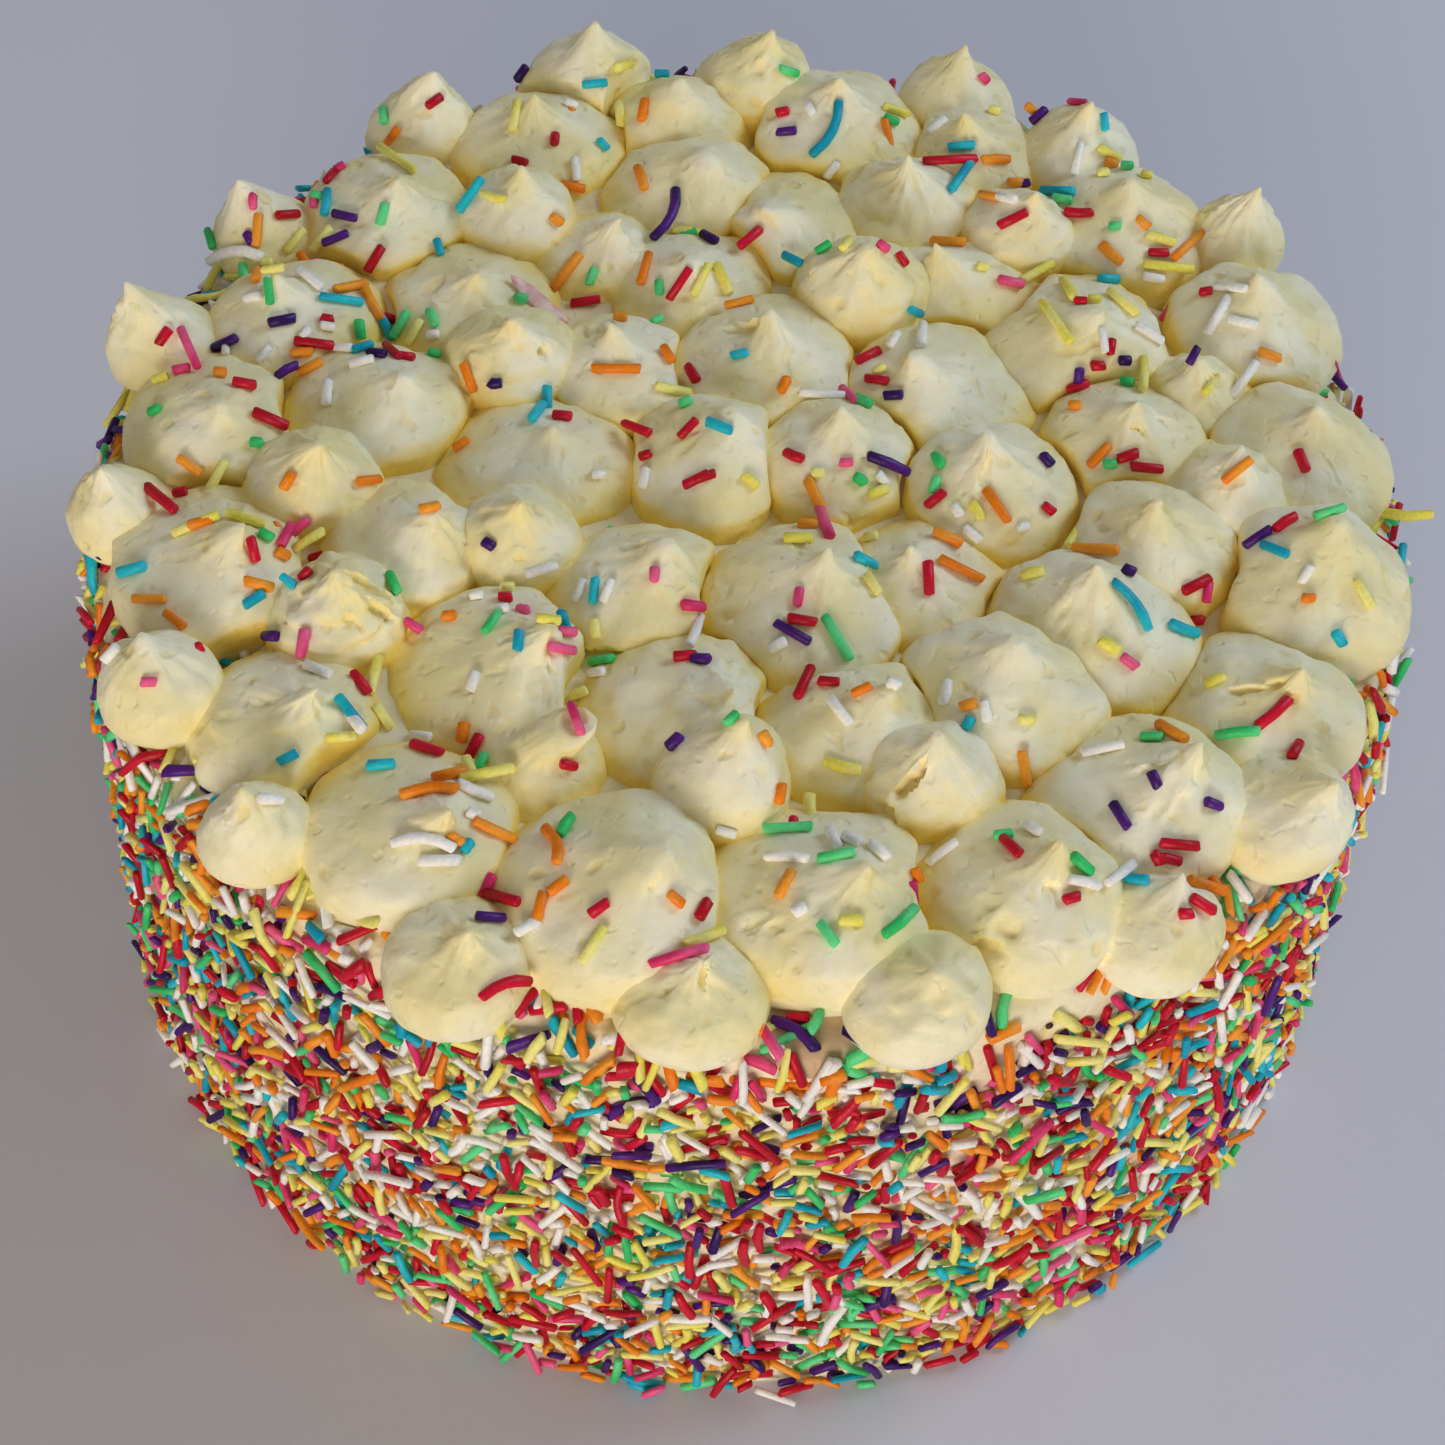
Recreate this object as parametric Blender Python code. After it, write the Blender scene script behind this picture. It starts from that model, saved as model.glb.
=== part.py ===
"""Rainbow cake: a round iced cake with a coat of rod sprinkles on its side and a
top crowded with piped dollops of buttercream.

Metres, +Z up. The origin is the centre of the cake's underside, so the cake
stands on Z = 0. +Y is the far side as the cake is seen, -Y the near side.
"""

import math

import bmesh
import bpy
from mathutils import noise

MM = 0.001

# The cake with its coat of icing and sprinkles.
RIM_HEIGHT = 99.5 * MM  # underside to the top coat of icing
FOOT_RADIUS = 109.3 * MM  # to the outside of the sprinkles, at the foot
RIM_RADIUS = 105.6 * MM  # to the outside of the sprinkles, at the rim
FOOT_FLARE = 1.6 * MM  # sprinkles that slid down and gathered at the foot
FLARE_HEIGHT = 9.0 * MM
RIM_ROUND = 3.0 * MM  # the rim's rounded edge
SIDE_UNEVEN = 0.7 * MM  # how far the side wanders in and out
BODY_SEGMENTS = 64

# The top coat of icing that the dollops are piped on.
COAT_THICKNESS = 2.4 * MM
COAT_RADIUS = 103.6 * MM
COAT_SEGMENTS = 48
FILL_HEIGHT = 5.0 * MM  # how far the dollops' skirts fill the gaps between them
FILL_RADIUS = 75.0 * MM
FILL_EDGE = 12.0 * MM  # over which the filling falls away towards the rim
FIT_GAP = 0.3 * MM  # between the top coat and the cake under it

# One dollop, from its foot to its peak: share of its height, share of its radius.
# A wide one is a low mound with a drawn-out peak, a slim one is drop-shaped.
WIDE_PROFILE = (
    (0.00, 0.90),
    (0.20, 1.00),
    (0.45, 0.89),
    (0.64, 0.56),
    (0.82, 0.20),
)
SLIM_PROFILE = (
    (0.00, 0.86),
    (0.22, 1.00),
    (0.47, 0.88),
    (0.69, 0.55),
    (0.87, 0.20),
)
SLIM_ASPECT = 1.55  # height over radius of a fully slim dollop
WIDE_ASPECT = 1.05
LEAN_POWER = 1.7  # the peak is drawn aside, the foot stays where it is
OUTER_ROW = 72.0  # dollops further out than this are undercut where they face outwards
OUT_OF_ROUND = 0.035
WIDE_SEGMENTS = 10
SLIM_SEGMENTS = 9

# The dollops as they were piped, by hand and uneven: millimetres from the cake's
# centre, radius, height over the top coat, how far the foot is lifted where one
# sits up on its neighbours, and how far the peak leans towards +X and +Y.
LAYOUT = (
    # along the near rim
    (-66.4, -72.6, 8.6, 14.5, 0.5, -0.5, -1),
    (-46, -72, 15, 14.5, 0, 8, -3),
    (-35.5, -92.3, 11, 12.5, 0, 2, 0),
    (-17, -82, 16, 16.5, 0, 9, 2),
    (-3, -94.8, 11, 13, 0, 1, -1),
    (14, -80, 16, 15.5, 0, 6, 0),
    (28, -93, 10.1, 12.5, 0.5, 3, -1),
    (43, -76, 14, 15.5, 0, 4, 2),
    (61.5, -79.5, 9.5, 12, 0, 3, 4),
    (79.2, -59, 10, 13.5, 1.5, 7, -0.5),
    # second row from the near rim
    (-83.7, -50, 9.2, 14.5, 1.5, -2, 1),
    (-67, -55, 13, 14.5, 0, 7, 0),
    (-37, -42, 14.5, 15.5, 0, 10, 1),
    (-29, -60, 11, 12.5, 1, 6, 3),
    (-8.5, -47, 14, 14.5, 0, 8, -2),
    (-1, -62, 10, 18, 3, 3, 2),
    (17, -50, 13, 14.5, 0, 5, 2),
    (29.5, -58, 10.5, 15, 3, 0, -1),
    (40, -42, 14.5, 16.5, 0, 0, 3),
    (59, -60, 15, 16.5, 0, 8, 4),
    (79, -40, 14.5, 15.5, 0, 4, 0),
    # in front of the middle
    (-96.5, -15, 9, 14.5, 1, -2, -1),
    (-83, -27, 14.5, 16.5, 0, 8, 0),
    (-60, -35, 11, 16, 2.5, 1, -1),
    (-68, -9, 11, 16, 2.5, 2, -2),
    (-52, -20, 12, 15.5, 0, 5, -1),
    (-35, -18, 10.5, 16, 2.5, 1, -2),
    (-16, -26, 12.5, 15.5, 0, 5, 2),
    (10, -27, 15.5, 16.5, 0, 3, 3),
    (28, -20, 12.5, 13.5, 0, -3, 0),
    (54, -28, 15, 17.5, 0, -1, 4),
    (62, -12, 13, 17.5, 0, 0, 1),
    (88, -18, 14.5, 18.5, 0, 1, 5),
    # across the middle
    (-87, 4, 14.5, 14.5, 0, 4, -4),
    (-61, 9, 13.5, 14.5, 0, 6, -1),
    (-34, -1, 15, 13.5, 0, 3, 1),
    (-7, 0, 12.5, 16.5, 0, 3, 3),
    (14, 2, 12.5, 16.5, 0, 0, 3),
    (38.5, -1.5, 12.5, 16.5, 0, -2, 3),
    (59, 12, 12.5, 15.5, 0, 1, 0),
    (75, 1, 10, 14.5, 1.5, 1, 1),
    (88, 11, 14.5, 16.5, 0, 1, 1),
    # behind the middle
    (-96, 21, 9.5, 16.5, 1, -5, 0),
    (-77, 27, 14, 14.5, 0, -2, 1),
    (-49, 35, 13.5, 13.5, 0, 2, -2),
    (-40, 21, 11.5, 16, 2.5, 1, -3),
    (-21, 19, 12.5, 15.5, 0, -2, 2),
    (1, 22, 14.5, 16.5, 0, 1, 3),
    (16.5, 41, 11.5, 17, 2.5, 0, -2),
    (31, 21, 14, 14.5, 0, -6, -1),
    (51, 33, 14.5, 15.5, 0, 3, -1),
    (72, 23, 10, 13.5, 0, -1, 1),
    (83, 40, 14, 16.5, 0, -2, 1),
    # second row from the far rim
    (-84, 48.5, 9.8, 14.5, 0, -4.5, 2),
    (-66, 55, 14.5, 14.5, 0, 4, -2),
    (-43, 54, 10.5, 15.5, 1.5, 2, 1),
    (-29, 47, 11.5, 13.5, 0, 4, 1),
    (-13, 43, 12.5, 13, 0, 1, -3),
    (-15, 66, 13.5, 13.5, 0, 4, 0),
    (5, 58, 12.5, 13, 0, -5, -4),
    (23, 64, 11.5, 15.5, 1, 0, 0),
    (34, 45, 12.5, 13.5, 0, -6, 1),
    (42, 58, 10.5, 15.5, 1, 3, 0),
    (61, 62, 14.5, 15.5, 0, 0, 2),
    (79.5, 61, 8.9, 16.5, 1, 2, 0),
    # along the far rim
    (-62, 78, 10, 15.5, 0, 2, 2),
    (-41, 75, 14, 14.5, 0, -1, 1),
    (-34, 91, 12, 16.5, 0, 1, 3),
    (-18, 84, 13, 14.5, 0, 1, -1),
    (-5, 93, 11, 16.5, 0, 3, 2),
    (11, 84, 14.5, 16.5, 0, -1, 0),
    (32, 92, 10.5, 15.5, 0, 0, 3),
    (36, 80, 12.5, 14.5, 0, -3, -1),
    (53, 79, 11.5, 16.5, 0, 1, 3),
)


def clear_scene():
    for obj in list(bpy.data.objects):
        bpy.data.objects.remove(obj, do_unlink=True)


def make_material(name, colour, roughness):
    material = bpy.data.materials.new(name)
    material.use_nodes = True
    shader = material.node_tree.nodes["Principled BSDF"]
    shader.inputs["Base Color"].default_value = (*colour, 1.0)
    shader.inputs["Roughness"].default_value = roughness
    shader.inputs["Metallic"].default_value = 0.0
    material.diffuse_color = (*colour, 1.0)
    return material


def add_object(name, bm, material):
    bmesh.ops.recalc_face_normals(bm, faces=bm.faces[:])
    mesh = bpy.data.meshes.new(name)
    bm.to_mesh(mesh)
    bm.free()
    mesh.materials.append(material)
    mesh.shade_smooth()
    obj = bpy.data.objects.new(name, mesh)
    bpy.context.scene.collection.objects.link(obj)
    return obj


def loft(bm, rings, top_point=None):
    """Skin rings of equal count, close the foot flat, and close the top flat or to a point."""
    rows = [[bm.verts.new(point) for point in ring] for ring in rings]
    count = len(rows[0])
    for low, high in zip(rows, rows[1:]):
        for i in range(count):
            j = (i + 1) % count
            bm.faces.new((low[i], low[j], high[j], high[i]))
    bm.faces.new(tuple(reversed(rows[0])))
    if top_point is None:
        bm.faces.new(tuple(rows[-1]))
    else:
        tip = bm.verts.new(top_point)
        for i in range(count):
            bm.faces.new((rows[-1][i], rows[-1][(i + 1) % count], tip))


def side_radius(z):
    """Radius of the sprinkled side at height z: a slight taper and a gathered foot."""
    taper = FOOT_RADIUS + (RIM_RADIUS - FOOT_RADIUS) * z / RIM_HEIGHT
    return taper + FOOT_FLARE * max(0.0, 1.0 - z / FLARE_HEIGHT) ** 2


def body_rings():
    top = RIM_HEIGHT - COAT_THICKNESS - FIT_GAP
    heights = [0.0, 3.0 * MM, 9.0 * MM, 28.0 * MM, 48.0 * MM, 68.0 * MM, 86.0 * MM]
    levels = [(z, side_radius(z)) for z in heights]
    for step in (0, 45, 90):
        angle = math.radians(step)
        levels.append(
            (
                top - RIM_ROUND + RIM_ROUND * math.sin(angle),
                side_radius(top) - RIM_ROUND + RIM_ROUND * math.cos(angle),
            )
        )
    rings = []
    for z, radius in levels:
        ring = []
        for i in range(BODY_SEGMENTS):
            a = 2.0 * math.pi * i / BODY_SEGMENTS
            x, y = math.cos(a), math.sin(a)
            wander = noise.noise((x * 3.1, y * 3.1, z * 38.0)) * 2.0 * SIDE_UNEVEN
            r = radius + wander
            ring.append((x * r, y * r, z))
        rings.append(ring)
    return rings


def coat_rings():
    low = RIM_HEIGHT - COAT_THICKNESS
    levels = (
        (low, COAT_RADIUS - 0.5 * MM),
        (low + 1.0 * MM, COAT_RADIUS),
        (RIM_HEIGHT, COAT_RADIUS - 1.6 * MM),
        (RIM_HEIGHT + 0.2 * MM, FILL_RADIUS + FILL_EDGE),
        (RIM_HEIGHT + FILL_HEIGHT, FILL_RADIUS),
    )
    rings = []
    for z, radius in levels:
        ring = []
        for i in range(COAT_SEGMENTS):
            a = 2.0 * math.pi * i / COAT_SEGMENTS
            x, y = math.cos(a), math.sin(a)
            wander = noise.noise((x * 2.3, y * 2.3, 4.0)) * 1.2 * MM
            ring.append((x * (radius + wander), y * (radius + wander), z))
        rings.append(ring)
    return rings


def faces_out(x, y, angle):
    """Whether this side of a dollop looks out over the rim of the cake."""
    out = math.hypot(x, y)
    if out < OUTER_ROW:
        return False
    return (x * math.cos(angle) + y * math.sin(angle)) / out > 0.45


def dollop_rings(index, x, y, radius, height, lift, lean_x, lean_y):
    """Rings of one dollop up to just under its peak, and the peak itself."""
    slim = (height / radius - WIDE_ASPECT) / (SLIM_ASPECT - WIDE_ASPECT)
    slim = min(1.0, max(0.0, slim))
    segments = SLIM_SEGMENTS if radius < 12.0 else WIDE_SEGMENTS
    foot = RIM_HEIGHT / MM - 1.0 + min(lift, 1.0) * 0.5
    turn = index * 2.399963  # each one starts at another angle
    rings = []
    for (wide_u, wide_r), (slim_u, slim_r) in zip(WIDE_PROFILE, SLIM_PROFILE):
        u = wide_u + (slim_u - wide_u) * slim
        share = wide_r + (slim_r - wide_r) * slim
        z = foot + u * (RIM_HEIGHT / MM + height + lift - foot)
        if u > 0.0:
            z += lift * 0.35 * (1.0 - u)
        drawn = u**LEAN_POWER
        ring = []
        for i in range(segments):
            a = turn + 2.0 * math.pi * i / segments
            uneven = OUT_OF_ROUND * math.sin(2.0 * a + index) + 0.6 * OUT_OF_ROUND * (
                math.sin(3.0 * a + 2.0 * index)
            )
            r = radius * share * (1.0 + uneven)
            if u == 0.0 and not faces_out(x, y, a):
                r = radius * (1.0 + uneven)  # a foot that is bedded among its neighbours
            ring.append(
                (
                    (x + lean_x * drawn + r * math.cos(a)) * MM,
                    (y + lean_y * drawn + r * math.sin(a)) * MM,
                    z * MM,
                )
            )
        rings.append(ring)
    peak = (
        (x + lean_x) * MM,
        (y + lean_y) * MM,
        RIM_HEIGHT + (height + lift) * MM,
    )
    return rings, peak


def keep_outer_skin(obj):
    """Apply the fusing, and fill the small pockets that dollops shut in between them."""
    bpy.context.view_layer.update()
    graph = bpy.context.evaluated_depsgraph_get()
    fused = bpy.data.meshes.new_from_object(obj.evaluated_get(graph))
    obj.modifiers.clear()
    bm = bmesh.new()
    bm.from_mesh(fused)
    bm.verts.ensure_lookup_table()
    islands = []
    seen = set()
    for start in bm.verts:
        if start in seen:
            continue
        island, queue = [], [start]
        seen.add(start)
        while queue:
            vert = queue.pop()
            island.append(vert)
            for edge in vert.link_edges:
                other = edge.other_vert(vert)
                if other not in seen:
                    seen.add(other)
                    queue.append(other)
        islands.append(island)
    islands.sort(key=len, reverse=True)
    pockets = [vert for island in islands[1:] for vert in island]
    bmesh.ops.delete(bm, geom=pockets, context="VERTS")
    bm.to_mesh(fused)
    bm.free()
    fused.name = obj.name
    fused.shade_smooth()
    fused.set_sharp_from_angle(angle=math.radians(60.0))
    obj.data = fused


def build():
    clear_scene()
    coated = make_material("sprinkled_icing", (0.80, 0.56, 0.42), 0.55)
    icing = make_material("buttercream", (0.83, 0.79, 0.52), 0.50)

    bm = bmesh.new()
    loft(bm, body_rings())
    body = add_object("cake_body", bm, coated)
    body.data.set_sharp_from_angle(angle=math.radians(50.0))

    bm = bmesh.new()
    loft(bm, coat_rings())
    top = add_object("piped_icing_top", bm, icing)

    # Each dollop is a closed drop of its own, fused with its neighbours and the coat.
    piped = bpy.data.collections.new("piped_dollops")
    bpy.context.scene.collection.children.link(piped)
    for index, row in enumerate(LAYOUT):
        bm = bmesh.new()
        rings, peak = dollop_rings(index, *row)
        loft(bm, rings, peak)
        bmesh.ops.recalc_face_normals(bm, faces=bm.faces[:])
        mesh = bpy.data.meshes.new(f"dollop_{index:02d}")
        bm.to_mesh(mesh)
        bm.free()
        dollop = bpy.data.objects.new(f"dollop_{index:02d}", mesh)
        piped.objects.link(dollop)
        dollop.hide_render = True
        dollop.display_type = "WIRE"
    fuse = top.modifiers.new("fuse_dollops", "BOOLEAN")
    fuse.operation = "UNION"
    fuse.solver = "EXACT"
    fuse.operand_type = "COLLECTION"
    fuse.collection = piped
    keep_outer_skin(top)
    for dollop in list(piped.objects):
        bpy.data.objects.remove(dollop, do_unlink=True)
    bpy.data.collections.remove(piped)


build()
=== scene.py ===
"""Looks of the rainbow cake: piped buttercream, iced side, and the rod sprinkles.

Metres, +Z up, the cake stands on Z = 0. +Y is the far side as the cake is seen.
"""

import math
import random

import bpy
import numpy as np
from mathutils import Matrix, Vector, noise
from mathutils.bvhtree import BVHTree


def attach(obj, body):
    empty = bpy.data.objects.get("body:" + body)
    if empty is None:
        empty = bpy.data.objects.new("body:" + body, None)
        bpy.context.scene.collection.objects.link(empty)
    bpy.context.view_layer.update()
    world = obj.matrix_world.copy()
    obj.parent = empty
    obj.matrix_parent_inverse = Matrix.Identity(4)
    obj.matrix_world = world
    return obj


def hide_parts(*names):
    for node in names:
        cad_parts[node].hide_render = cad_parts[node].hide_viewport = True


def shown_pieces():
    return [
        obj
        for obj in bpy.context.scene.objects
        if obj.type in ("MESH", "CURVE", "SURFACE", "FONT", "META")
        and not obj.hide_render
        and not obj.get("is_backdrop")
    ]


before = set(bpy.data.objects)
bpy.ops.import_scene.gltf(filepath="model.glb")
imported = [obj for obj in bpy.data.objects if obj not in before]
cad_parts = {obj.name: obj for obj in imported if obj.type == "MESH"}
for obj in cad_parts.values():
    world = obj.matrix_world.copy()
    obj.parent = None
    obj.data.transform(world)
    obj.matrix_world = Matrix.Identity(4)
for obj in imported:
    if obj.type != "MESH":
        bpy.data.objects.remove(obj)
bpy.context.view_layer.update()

MM = 0.001

# ---------------------------------------------------------------- sizes, in mm
RIM_HEIGHT = 99.5
FOOT_RADIUS = 109.3
RIM_RADIUS = 105.6
FOOT_FLARE = 1.6
FLARE_HEIGHT = 9.0
SPRINKLE_COAT = 3.0  # how thick the sprinkles lie over the icing of the side
EDGE_ROUND = 4.2  # rounding of the icing where the side turns into the top
ROD = 0.79  # half the thickness of a sprinkle
FILL_HEIGHT = 4.5  # how far the coat stands up between the inner dollops
FILL_RADIUS = 75.0
FILL_EDGE = 12.0

# x, y, radius, height, lift of the foot, lean to +X and +Y: the piped dollops.
LAYOUT = (
    # along the near rim
    (-66.4, -72.6, 8.6, 14.5, 0.5, -0.5, -1),
    (-46, -72, 15, 14.5, 0, 8, -3),
    (-35.5, -92.3, 11, 12.5, 0, 2, 0),
    (-17, -82, 16, 16.5, 0, 9, 2),
    (-3, -94.8, 11, 13, 0, 1, -1),
    (14, -80, 16, 15.5, 0, 6, 0),
    (28, -93, 10.1, 12.5, 0.5, 3, -1),
    (43, -76, 14, 15.5, 0, 4, 2),
    (61.5, -79.5, 9.5, 12, 0, 3, 4),
    (79.2, -59, 10, 13.5, 1.5, 7, -0.5),
    # second row from the near rim
    (-83.7, -50, 9.2, 14.5, 1.5, -2, 1),
    (-67, -55, 13, 14.5, 0, 7, 0),
    (-37, -42, 14.5, 15.5, 0, 10, 1),
    (-29, -60, 11, 12.5, 1, 6, 3),
    (-8.5, -47, 14, 14.5, 0, 8, -2),
    (-1, -62, 10, 18, 3, 3, 2),
    (17, -50, 13, 14.5, 0, 5, 2),
    (29.5, -58, 10.5, 15, 3, 0, -1),
    (40, -42, 14.5, 16.5, 0, 0, 3),
    (59, -60, 15, 16.5, 0, 8, 4),
    (79, -40, 14.5, 15.5, 0, 4, 0),
    # in front of the middle
    (-96.5, -15, 9, 14.5, 1, -2, -1),
    (-83, -27, 14.5, 16.5, 0, 8, 0),
    (-60, -35, 11, 16, 2.5, 1, -1),
    (-68, -9, 11, 16, 2.5, 2, -2),
    (-52, -20, 12, 15.5, 0, 5, -1),
    (-35, -18, 10.5, 16, 2.5, 1, -2),
    (-16, -26, 12.5, 15.5, 0, 5, 2),
    (10, -27, 15.5, 16.5, 0, 3, 3),
    (28, -20, 12.5, 13.5, 0, -3, 0),
    (54, -28, 15, 17.5, 0, -1, 4),
    (62, -12, 13, 17.5, 0, 0, 1),
    (88, -18, 14.5, 18.5, 0, 1, 5),
    # across the middle
    (-87, 4, 14.5, 14.5, 0, 4, -4),
    (-61, 9, 13.5, 14.5, 0, 6, -1),
    (-34, -1, 15, 13.5, 0, 3, 1),
    (-7, 0, 12.5, 16.5, 0, 3, 3),
    (14, 2, 12.5, 16.5, 0, 0, 3),
    (38.5, -1.5, 12.5, 16.5, 0, -2, 3),
    (59, 12, 12.5, 15.5, 0, 1, 0),
    (75, 1, 10, 14.5, 1.5, 1, 1),
    (88, 11, 14.5, 16.5, 0, 1, 1),
    # behind the middle
    (-96, 21, 9.5, 16.5, 1, -5, 0),
    (-77, 27, 14, 14.5, 0, -2, 1),
    (-49, 35, 13.5, 13.5, 0, 2, -2),
    (-40, 21, 11.5, 16, 2.5, 1, -3),
    (-21, 19, 12.5, 15.5, 0, -2, 2),
    (1, 22, 14.5, 16.5, 0, 1, 3),
    (16.5, 41, 11.5, 17, 2.5, 0, -2),
    (31, 21, 14, 14.5, 0, -6, -1),
    (51, 33, 14.5, 15.5, 0, 3, -1),
    (72, 23, 10, 13.5, 0, -1, 1),
    (83, 40, 14, 16.5, 0, -2, 1),
    # second row from the far rim
    (-84, 48.5, 9.8, 14.5, 0, -4.5, 2),
    (-66, 55, 14.5, 14.5, 0, 4, -2),
    (-43, 54, 10.5, 15.5, 1.5, 2, 1),
    (-29, 47, 11.5, 13.5, 0, 4, 1),
    (-13, 43, 12.5, 13, 0, 1, -3),
    (-15, 66, 13.5, 13.5, 0, 4, 0),
    (5, 58, 12.5, 13, 0, -5, -4),
    (23, 64, 11.5, 15.5, 1, 0, 0),
    (34, 45, 12.5, 13.5, 0, -6, 1),
    (42, 58, 10.5, 15.5, 1, 3, 0),
    (61, 62, 14.5, 15.5, 0, 0, 2),
    (79.5, 61, 8.9, 16.5, 1, 2, 0),
    # along the far rim
    (-62, 78, 10, 15.5, 0, 2, 2),
    (-41, 75, 14, 14.5, 0, -1, 1),
    (-34, 91, 12, 16.5, 0, 1, 3),
    (-18, 84, 13, 14.5, 0, 1, -1),
    (-5, 93, 11, 16.5, 0, 3, 2),
    (11, 84, 14.5, 16.5, 0, -1, 0),
    (32, 92, 10.5, 15.5, 0, 0, 3),
    (36, 80, 12.5, 14.5, 0, -3, -1),
    (53, 79, 11.5, 16.5, 0, 1, 3),
)
SMALL = 12.0  # dollops under this radius were piped last, on and between the others
RIDGED = {24, 25, 48, 60, 64}  # finely ridged round the peak
TIERED = {57, 58, 60, 22, 40, 70, 50}  # a smaller cone standing on a wide skirt

# Share of the height, share of the radius: a low body, a plateau, and a drawn-up peak.
WIDE_PROFILE = (
    (0.00, 0.95),
    (0.10, 0.99),
    (0.20, 1.00),
    (0.33, 0.975),
    (0.45, 0.89),
    (0.55, 0.75),
    (0.63, 0.575),
    (0.69, 0.41),
    (0.745, 0.28),
    (0.81, 0.185),
    (0.87, 0.12),
    (0.93, 0.066),
    (1.00, 0.016),
)
SLIM_PROFILE = (
    (0.00, 0.80),
    (0.08, 0.92),
    (0.20, 1.00),
    (0.33, 0.99),
    (0.46, 0.925),
    (0.57, 0.80),
    (0.66, 0.63),
    (0.73, 0.46),
    (0.79, 0.32),
    (0.86, 0.20),
    (0.93, 0.105),
    (1.00, 0.025),
)
# A few were drawn up straight to a cone.
CONE_PROFILE = (
    (0.00, 0.84),
    (0.10, 0.98),
    (0.20, 1.00),
    (0.32, 0.95),
    (0.45, 0.82),
    (0.58, 0.64),
    (0.70, 0.46),
    (0.81, 0.29),
    (0.90, 0.16),
    (0.96, 0.08),
    (1.00, 0.025),
)
CONES = {64, 53, 42, 21, 0, 65, 68}
# One was flattened to a dished stub.
STUB_PROFILE = (
    (0.00, 0.95),
    (0.20, 1.00),
    (0.38, 0.91),
    (0.52, 0.74),
    (0.62, 0.56),
    (0.70, 0.44),
    (0.80, 0.385),
    (0.90, 0.375),
    (0.96, 0.345),
    (1.00, 0.26),
)
STUB = 13
BLUNT = {6, 33, 34}  # with no tip to speak of
ROUGH = {19, 14, 11, 23, 12}  # with a peak that tore in ripples
WIDE_ASPECT, SLIM_ASPECT = 1.05, 1.55
LEAN_POWER = 1.7

# ------------------------------------------------------------------- camera
CAMERA_PLACE = (3.70, -288.1, 421.8)  # mm
CAMERA_PITCH = 52.99  # degrees below the horizon
CAMERA_YAW = -1.19
CAMERA_ROLL = 2.85
FOCAL_PIXELS = 2700.0
PICTURE = 1445.0


def camera_axes():
    """Right, up and forward of the camera as unit vectors."""
    th, yaw = math.radians(CAMERA_PITCH), math.radians(CAMERA_YAW)
    roll = math.radians(CAMERA_ROLL)
    fwd = np.array(
        (
            math.sin(yaw) * math.cos(th),
            math.cos(yaw) * math.cos(th),
            -math.sin(th),
        )
    )
    right = np.array((math.cos(yaw), -math.sin(yaw), 0.0))
    up = np.cross(right, fwd)
    r2 = math.cos(roll) * right + math.sin(roll) * up
    u2 = -math.sin(roll) * right + math.cos(roll) * up
    return r2, u2, fwd


def make_camera():
    right, up, fwd = camera_axes()
    data = bpy.data.cameras.new("camera")
    data.sensor_fit = "HORIZONTAL"
    data.sensor_width = 36.0
    data.lens = 36.0 * FOCAL_PIXELS / PICTURE
    data.clip_start, data.clip_end = 0.02, 20.0
    obj = bpy.data.objects.new("camera", data)
    matrix = Matrix.Identity(4)
    for row in range(3):
        matrix[row][0], matrix[row][1], matrix[row][2] = right[row], up[row], -fwd[row]
        matrix[row][3] = CAMERA_PLACE[row] * MM
    obj.matrix_world = matrix
    bpy.context.scene.collection.objects.link(obj)
    bpy.context.scene.camera = obj


# ---------------------------------------------------------------- mesh tools
def mesh_object(name, points, quads, tris, material, sharp=None):
    """An object from point, quad and triangle arrays in millimetres."""
    points = np.asarray(points, np.float64) * MM
    quads = np.asarray(quads, np.int64).reshape(-1, 4)
    tris = np.asarray(tris, np.int64).reshape(-1, 3)
    mesh = bpy.data.meshes.new(name)
    loops = np.concatenate([quads.ravel(), tris.ravel()])
    starts = np.concatenate(
        [
            np.arange(len(quads)) * 4,
            len(quads) * 4 + np.arange(len(tris)) * 3,
        ]
    )
    mesh.vertices.add(len(points))
    mesh.vertices.foreach_set("co", points.ravel())
    mesh.loops.add(len(loops))
    mesh.loops.foreach_set("vertex_index", loops)
    mesh.polygons.add(len(starts))
    mesh.polygons.foreach_set("loop_start", starts)
    mesh.update(calc_edges=True)
    mesh.validate()
    mesh.shade_smooth()
    if sharp is not None:
        mesh.set_sharp_from_angle(angle=math.radians(sharp))
    mesh.materials.append(material)
    obj = bpy.data.objects.new(name, mesh)
    bpy.context.scene.collection.objects.link(obj)
    return obj


def smooth_curve(knots, at):
    """A smooth curve through (x, y) knots, without overshoot, at the given x."""
    x = np.array([k[0] for k in knots], float)
    y = np.array([k[1] for k in knots], float)
    step = np.diff(x)
    slope = np.diff(y) / step
    m = np.zeros(len(x))
    m[0], m[-1] = slope[0], slope[-1]
    for i in range(1, len(x) - 1):
        if slope[i - 1] * slope[i] > 0:
            m[i] = 2.0 * slope[i - 1] * slope[i] / (slope[i - 1] + slope[i])
    at = np.clip(np.asarray(at, float), x[0], x[-1])
    i = np.clip(np.searchsorted(x, at) - 1, 0, len(step) - 1)
    t = (at - x[i]) / step[i]
    h = step[i]
    return (
        (1 + 2 * t) * (1 - t) ** 2 * y[i]
        + t * (1 - t) ** 2 * h * m[i]
        + t * t * (3 - 2 * t) * y[i + 1]
        + t * t * (t - 1) * h * m[i + 1]
    )


def bumps(x, y, z, size):
    """Smooth noise, about -1 to 1, with features of the given size."""
    return noise.noise((x / size, y / size, z / size)) * 1.6


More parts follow.
